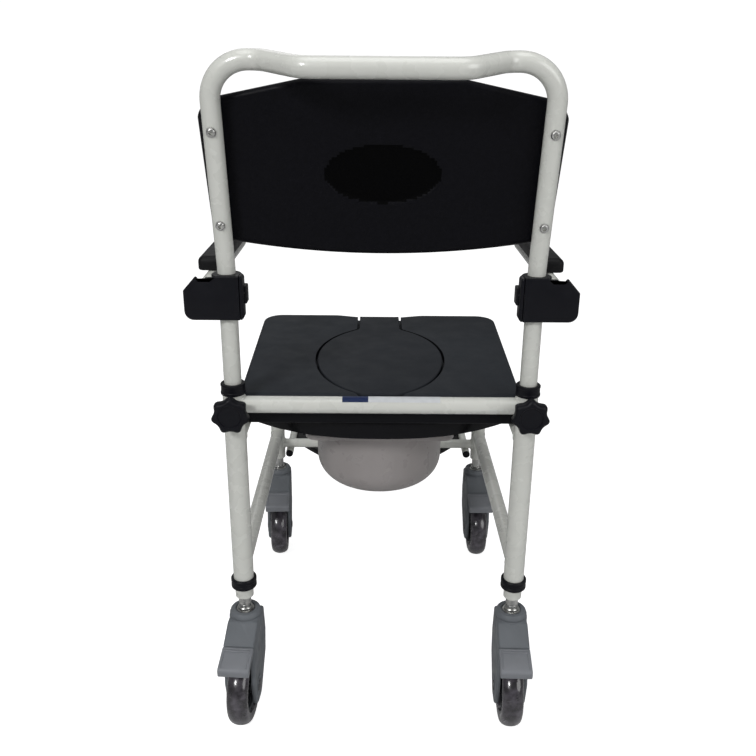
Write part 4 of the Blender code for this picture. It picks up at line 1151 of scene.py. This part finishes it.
def caster_axle():
    """Bolt with a hexagon head and a domed nut, sunk in the cheek bosses."""
    shank = bar("axle", (-0.024, 0.0, 0.0), (0.024, 0.0, 0.0), AXLE_R, segments=32)
    head = bar("head", (0.024, 0.0, 0.0), (0.0268, 0.0, 0.0), 0.009, segments=6)
    soften(head, 0.0008, 2, 40.0)
    dome = [(0.0, 0.0), (0.0092, 0.0), (0.0092, 0.0016), (0.008, 0.0024), (0.0046, 0.003), (0.0, 0.0032)]
    nut = turned("nut", dome, -X_AXIS, Vector((-0.024, 0.0, 0.0)), segments=40)
    return joined("axle", shank, head, nut)


def caster_stem():
    foot = HOUSING_TOP - 0.0026
    profile = [(0.0, foot), (0.0136, foot), (0.014, foot + 0.0006), (0.014, foot + 0.0018)]
    profile += [(0.0118, foot + 0.0024), (0.0118, foot + 0.006), (0.011, foot + 0.007)]
    profile += [(STEM_R, foot + 0.0072), (STEM_R, 0.195)]
    profile += [(STEM_R - 0.0005, 0.1955), (STEM_R - 0.0005, 0.1967), (STEM_R, 0.1972)]
    profile += [(STEM_R, LEG_BOTTOM - 0.0024), (0.0112, LEG_BOTTOM - 0.0014), (0.0112, LEG_BOTTOM + 0.0003)]
    profile += [(0.0124, LEG_BOTTOM + 0.0003), (0.0124, LEG_BOTTOM + 0.03), (0.0, LEG_BOTTOM + 0.03)]
    return turned("stem", profile, segments=40)


def add_casters():
    axle = Vector((0.0, TRAIL, WHEEL_R))
    parts = {
        "stem": (caster_stem(), ORIGIN, STEEL, "frame"),
        "housing": (caster_housing(), ORIGIN, CASTER, "caster_{}"),
        "pedal": (caster_pedal(), ORIGIN, PEDAL, "pedal_{}"),
        "tyre": (caster_tyre(), axle, TYRE, "wheel_{}"),
        "hub": (caster_hub(), axle, HUB, "wheel_{}"),
        "axle": (caster_axle(), axle, DARK_STEEL, "caster_{}"),
    }
    for tag, (x, y, turn) in CASTERS.items():
        put = Matrix.Translation((x, y, 0.0)) @ Matrix.Rotation(-radians(turn), 4, "Z")
        for part, (source, offset, paint, body) in parts.items():
            mesh = source.data.copy()
            mesh.transform(put @ Matrix.Translation(offset))
            piece = link(f"caster_{part}_moulded_{tag}", mesh)
            place(piece, paint, body.format(tag), f"caster_{part}_{tag}")
    for part in parts.values():
        bpy.data.objects.remove(part[0])


# ---- studio

def add_studio():
    """Pale floor, bright surround and four soft lights."""
    bm = bmesh.new()
    half = 9.0
    corners = ((-half, -half), (half, -half), (half, half), (-half, half))
    bm.faces.new([bm.verts.new((x, y, 0.0)) for x, y in corners])
    floor = mesh_object("floor", bm)
    paint = Paint("floor_white", None, (0.6, 0.6, 0.6), 0.85, Emission_Color=(1.0, 1.0, 1.0, 1.0))
    paint.vary_colour(paint.noise(2.0), 0.99, 1.01)
    seen = paint.nodes.new("ShaderNodeLightPath").outputs["Is Camera Ray"]
    glow = paint.spread(seen, 0.0, 0.88, (0.0, 1.0))
    paint.links.new(glow, paint.shader.inputs["Emission Strength"])
    floor.data.materials.append(paint.material)

    world = bpy.data.worlds.new("studio")
    world.use_nodes = True
    nodes = world.node_tree.nodes
    links = world.node_tree.links
    backdrop = nodes["Background"]
    backdrop.inputs["Color"].default_value = (1.0, 1.0, 1.0, 1.0)
    backdrop.inputs["Strength"].default_value = 1.05
    fill = nodes.new("ShaderNodeBackground")
    fill.inputs["Color"].default_value = (0.98, 0.99, 1.0, 1.0)
    fill.inputs["Strength"].default_value = 0.22
    mix = nodes.new("ShaderNodeMixShader")
    links.new(nodes.new("ShaderNodeLightPath").outputs["Is Camera Ray"], mix.inputs["Fac"])
    links.new(fill.outputs["Background"], mix.inputs[1])
    links.new(backdrop.outputs["Background"], mix.inputs[2])
    links.new(mix.outputs["Shader"], nodes["World Output"].inputs["Surface"])
    bpy.context.scene.world = world
    bpy.context.scene.view_settings.view_transform = "Standard"

    lights = (
        ("key", (1.7, 3.0, 2.6), 0.8, 56.0),
        ("fill", (-2.6, 2.4, 1.9), 2.2, 34.0),
        ("top", (0.0, 0.6, 3.4), 2.4, 30.0),
        ("front", (0.6, -3.2, 3.0), 2.2, 10.0),
    )
    for name, where, size, power in lights:
        data = bpy.data.lights.new(name, "AREA")
        data.shape = "DISK"
        data.size = size
        data.energy = power
        lamp = link(name, data)
        lamp.location = where
        lamp.rotation_euler = (Vector((0.0, 0.0, 0.5)) - Vector(where)).to_track_quat("-Z", "Y").to_euler()


def add_camera():
    """A little above the handle, looking forward and down at the chair's back."""
    yaw, pitch, roll = (radians(angle) for angle in CAMERA_ANGLES)
    forward = Vector((sin(yaw) * cos(pitch), -cos(yaw) * cos(pitch), -sin(pitch)))
    level = forward.cross(Z_AXIS).normalized()
    top = level.cross(forward)
    right = cos(roll) * level + sin(roll) * top
    up = cos(roll) * top - sin(roll) * level
    data = bpy.data.cameras.new("camera")
    data.lens = CAMERA_LENS
    data.sensor_width = 36.0
    camera = link("camera", data)
    basis = Matrix((right, up, -forward)).transposed().to_4x4()
    camera.matrix_world = Matrix.Translation(CAMERA_AT) @ basis
    bpy.context.scene.camera = camera


add_camera()
add_studio()
both_sides(add_rear_leg)
both_sides(add_side_frame)
add_crossbars()
both_sides(add_collars)
both_sides(add_star_knob)
add_back_frame()
add_backrest()
both_sides(add_back_screws)
both_sides(add_arm_bracket)
both_sides(add_arm)
add_seat()
add_pan_carrier()
add_pan()
add_footrest()
add_casters()
label_patch("label_blank_blue", 0.056, 0.018, LABEL_BLUE)
label_patch("label_blank_white", 0.018, -0.087, LABEL_WHITE)
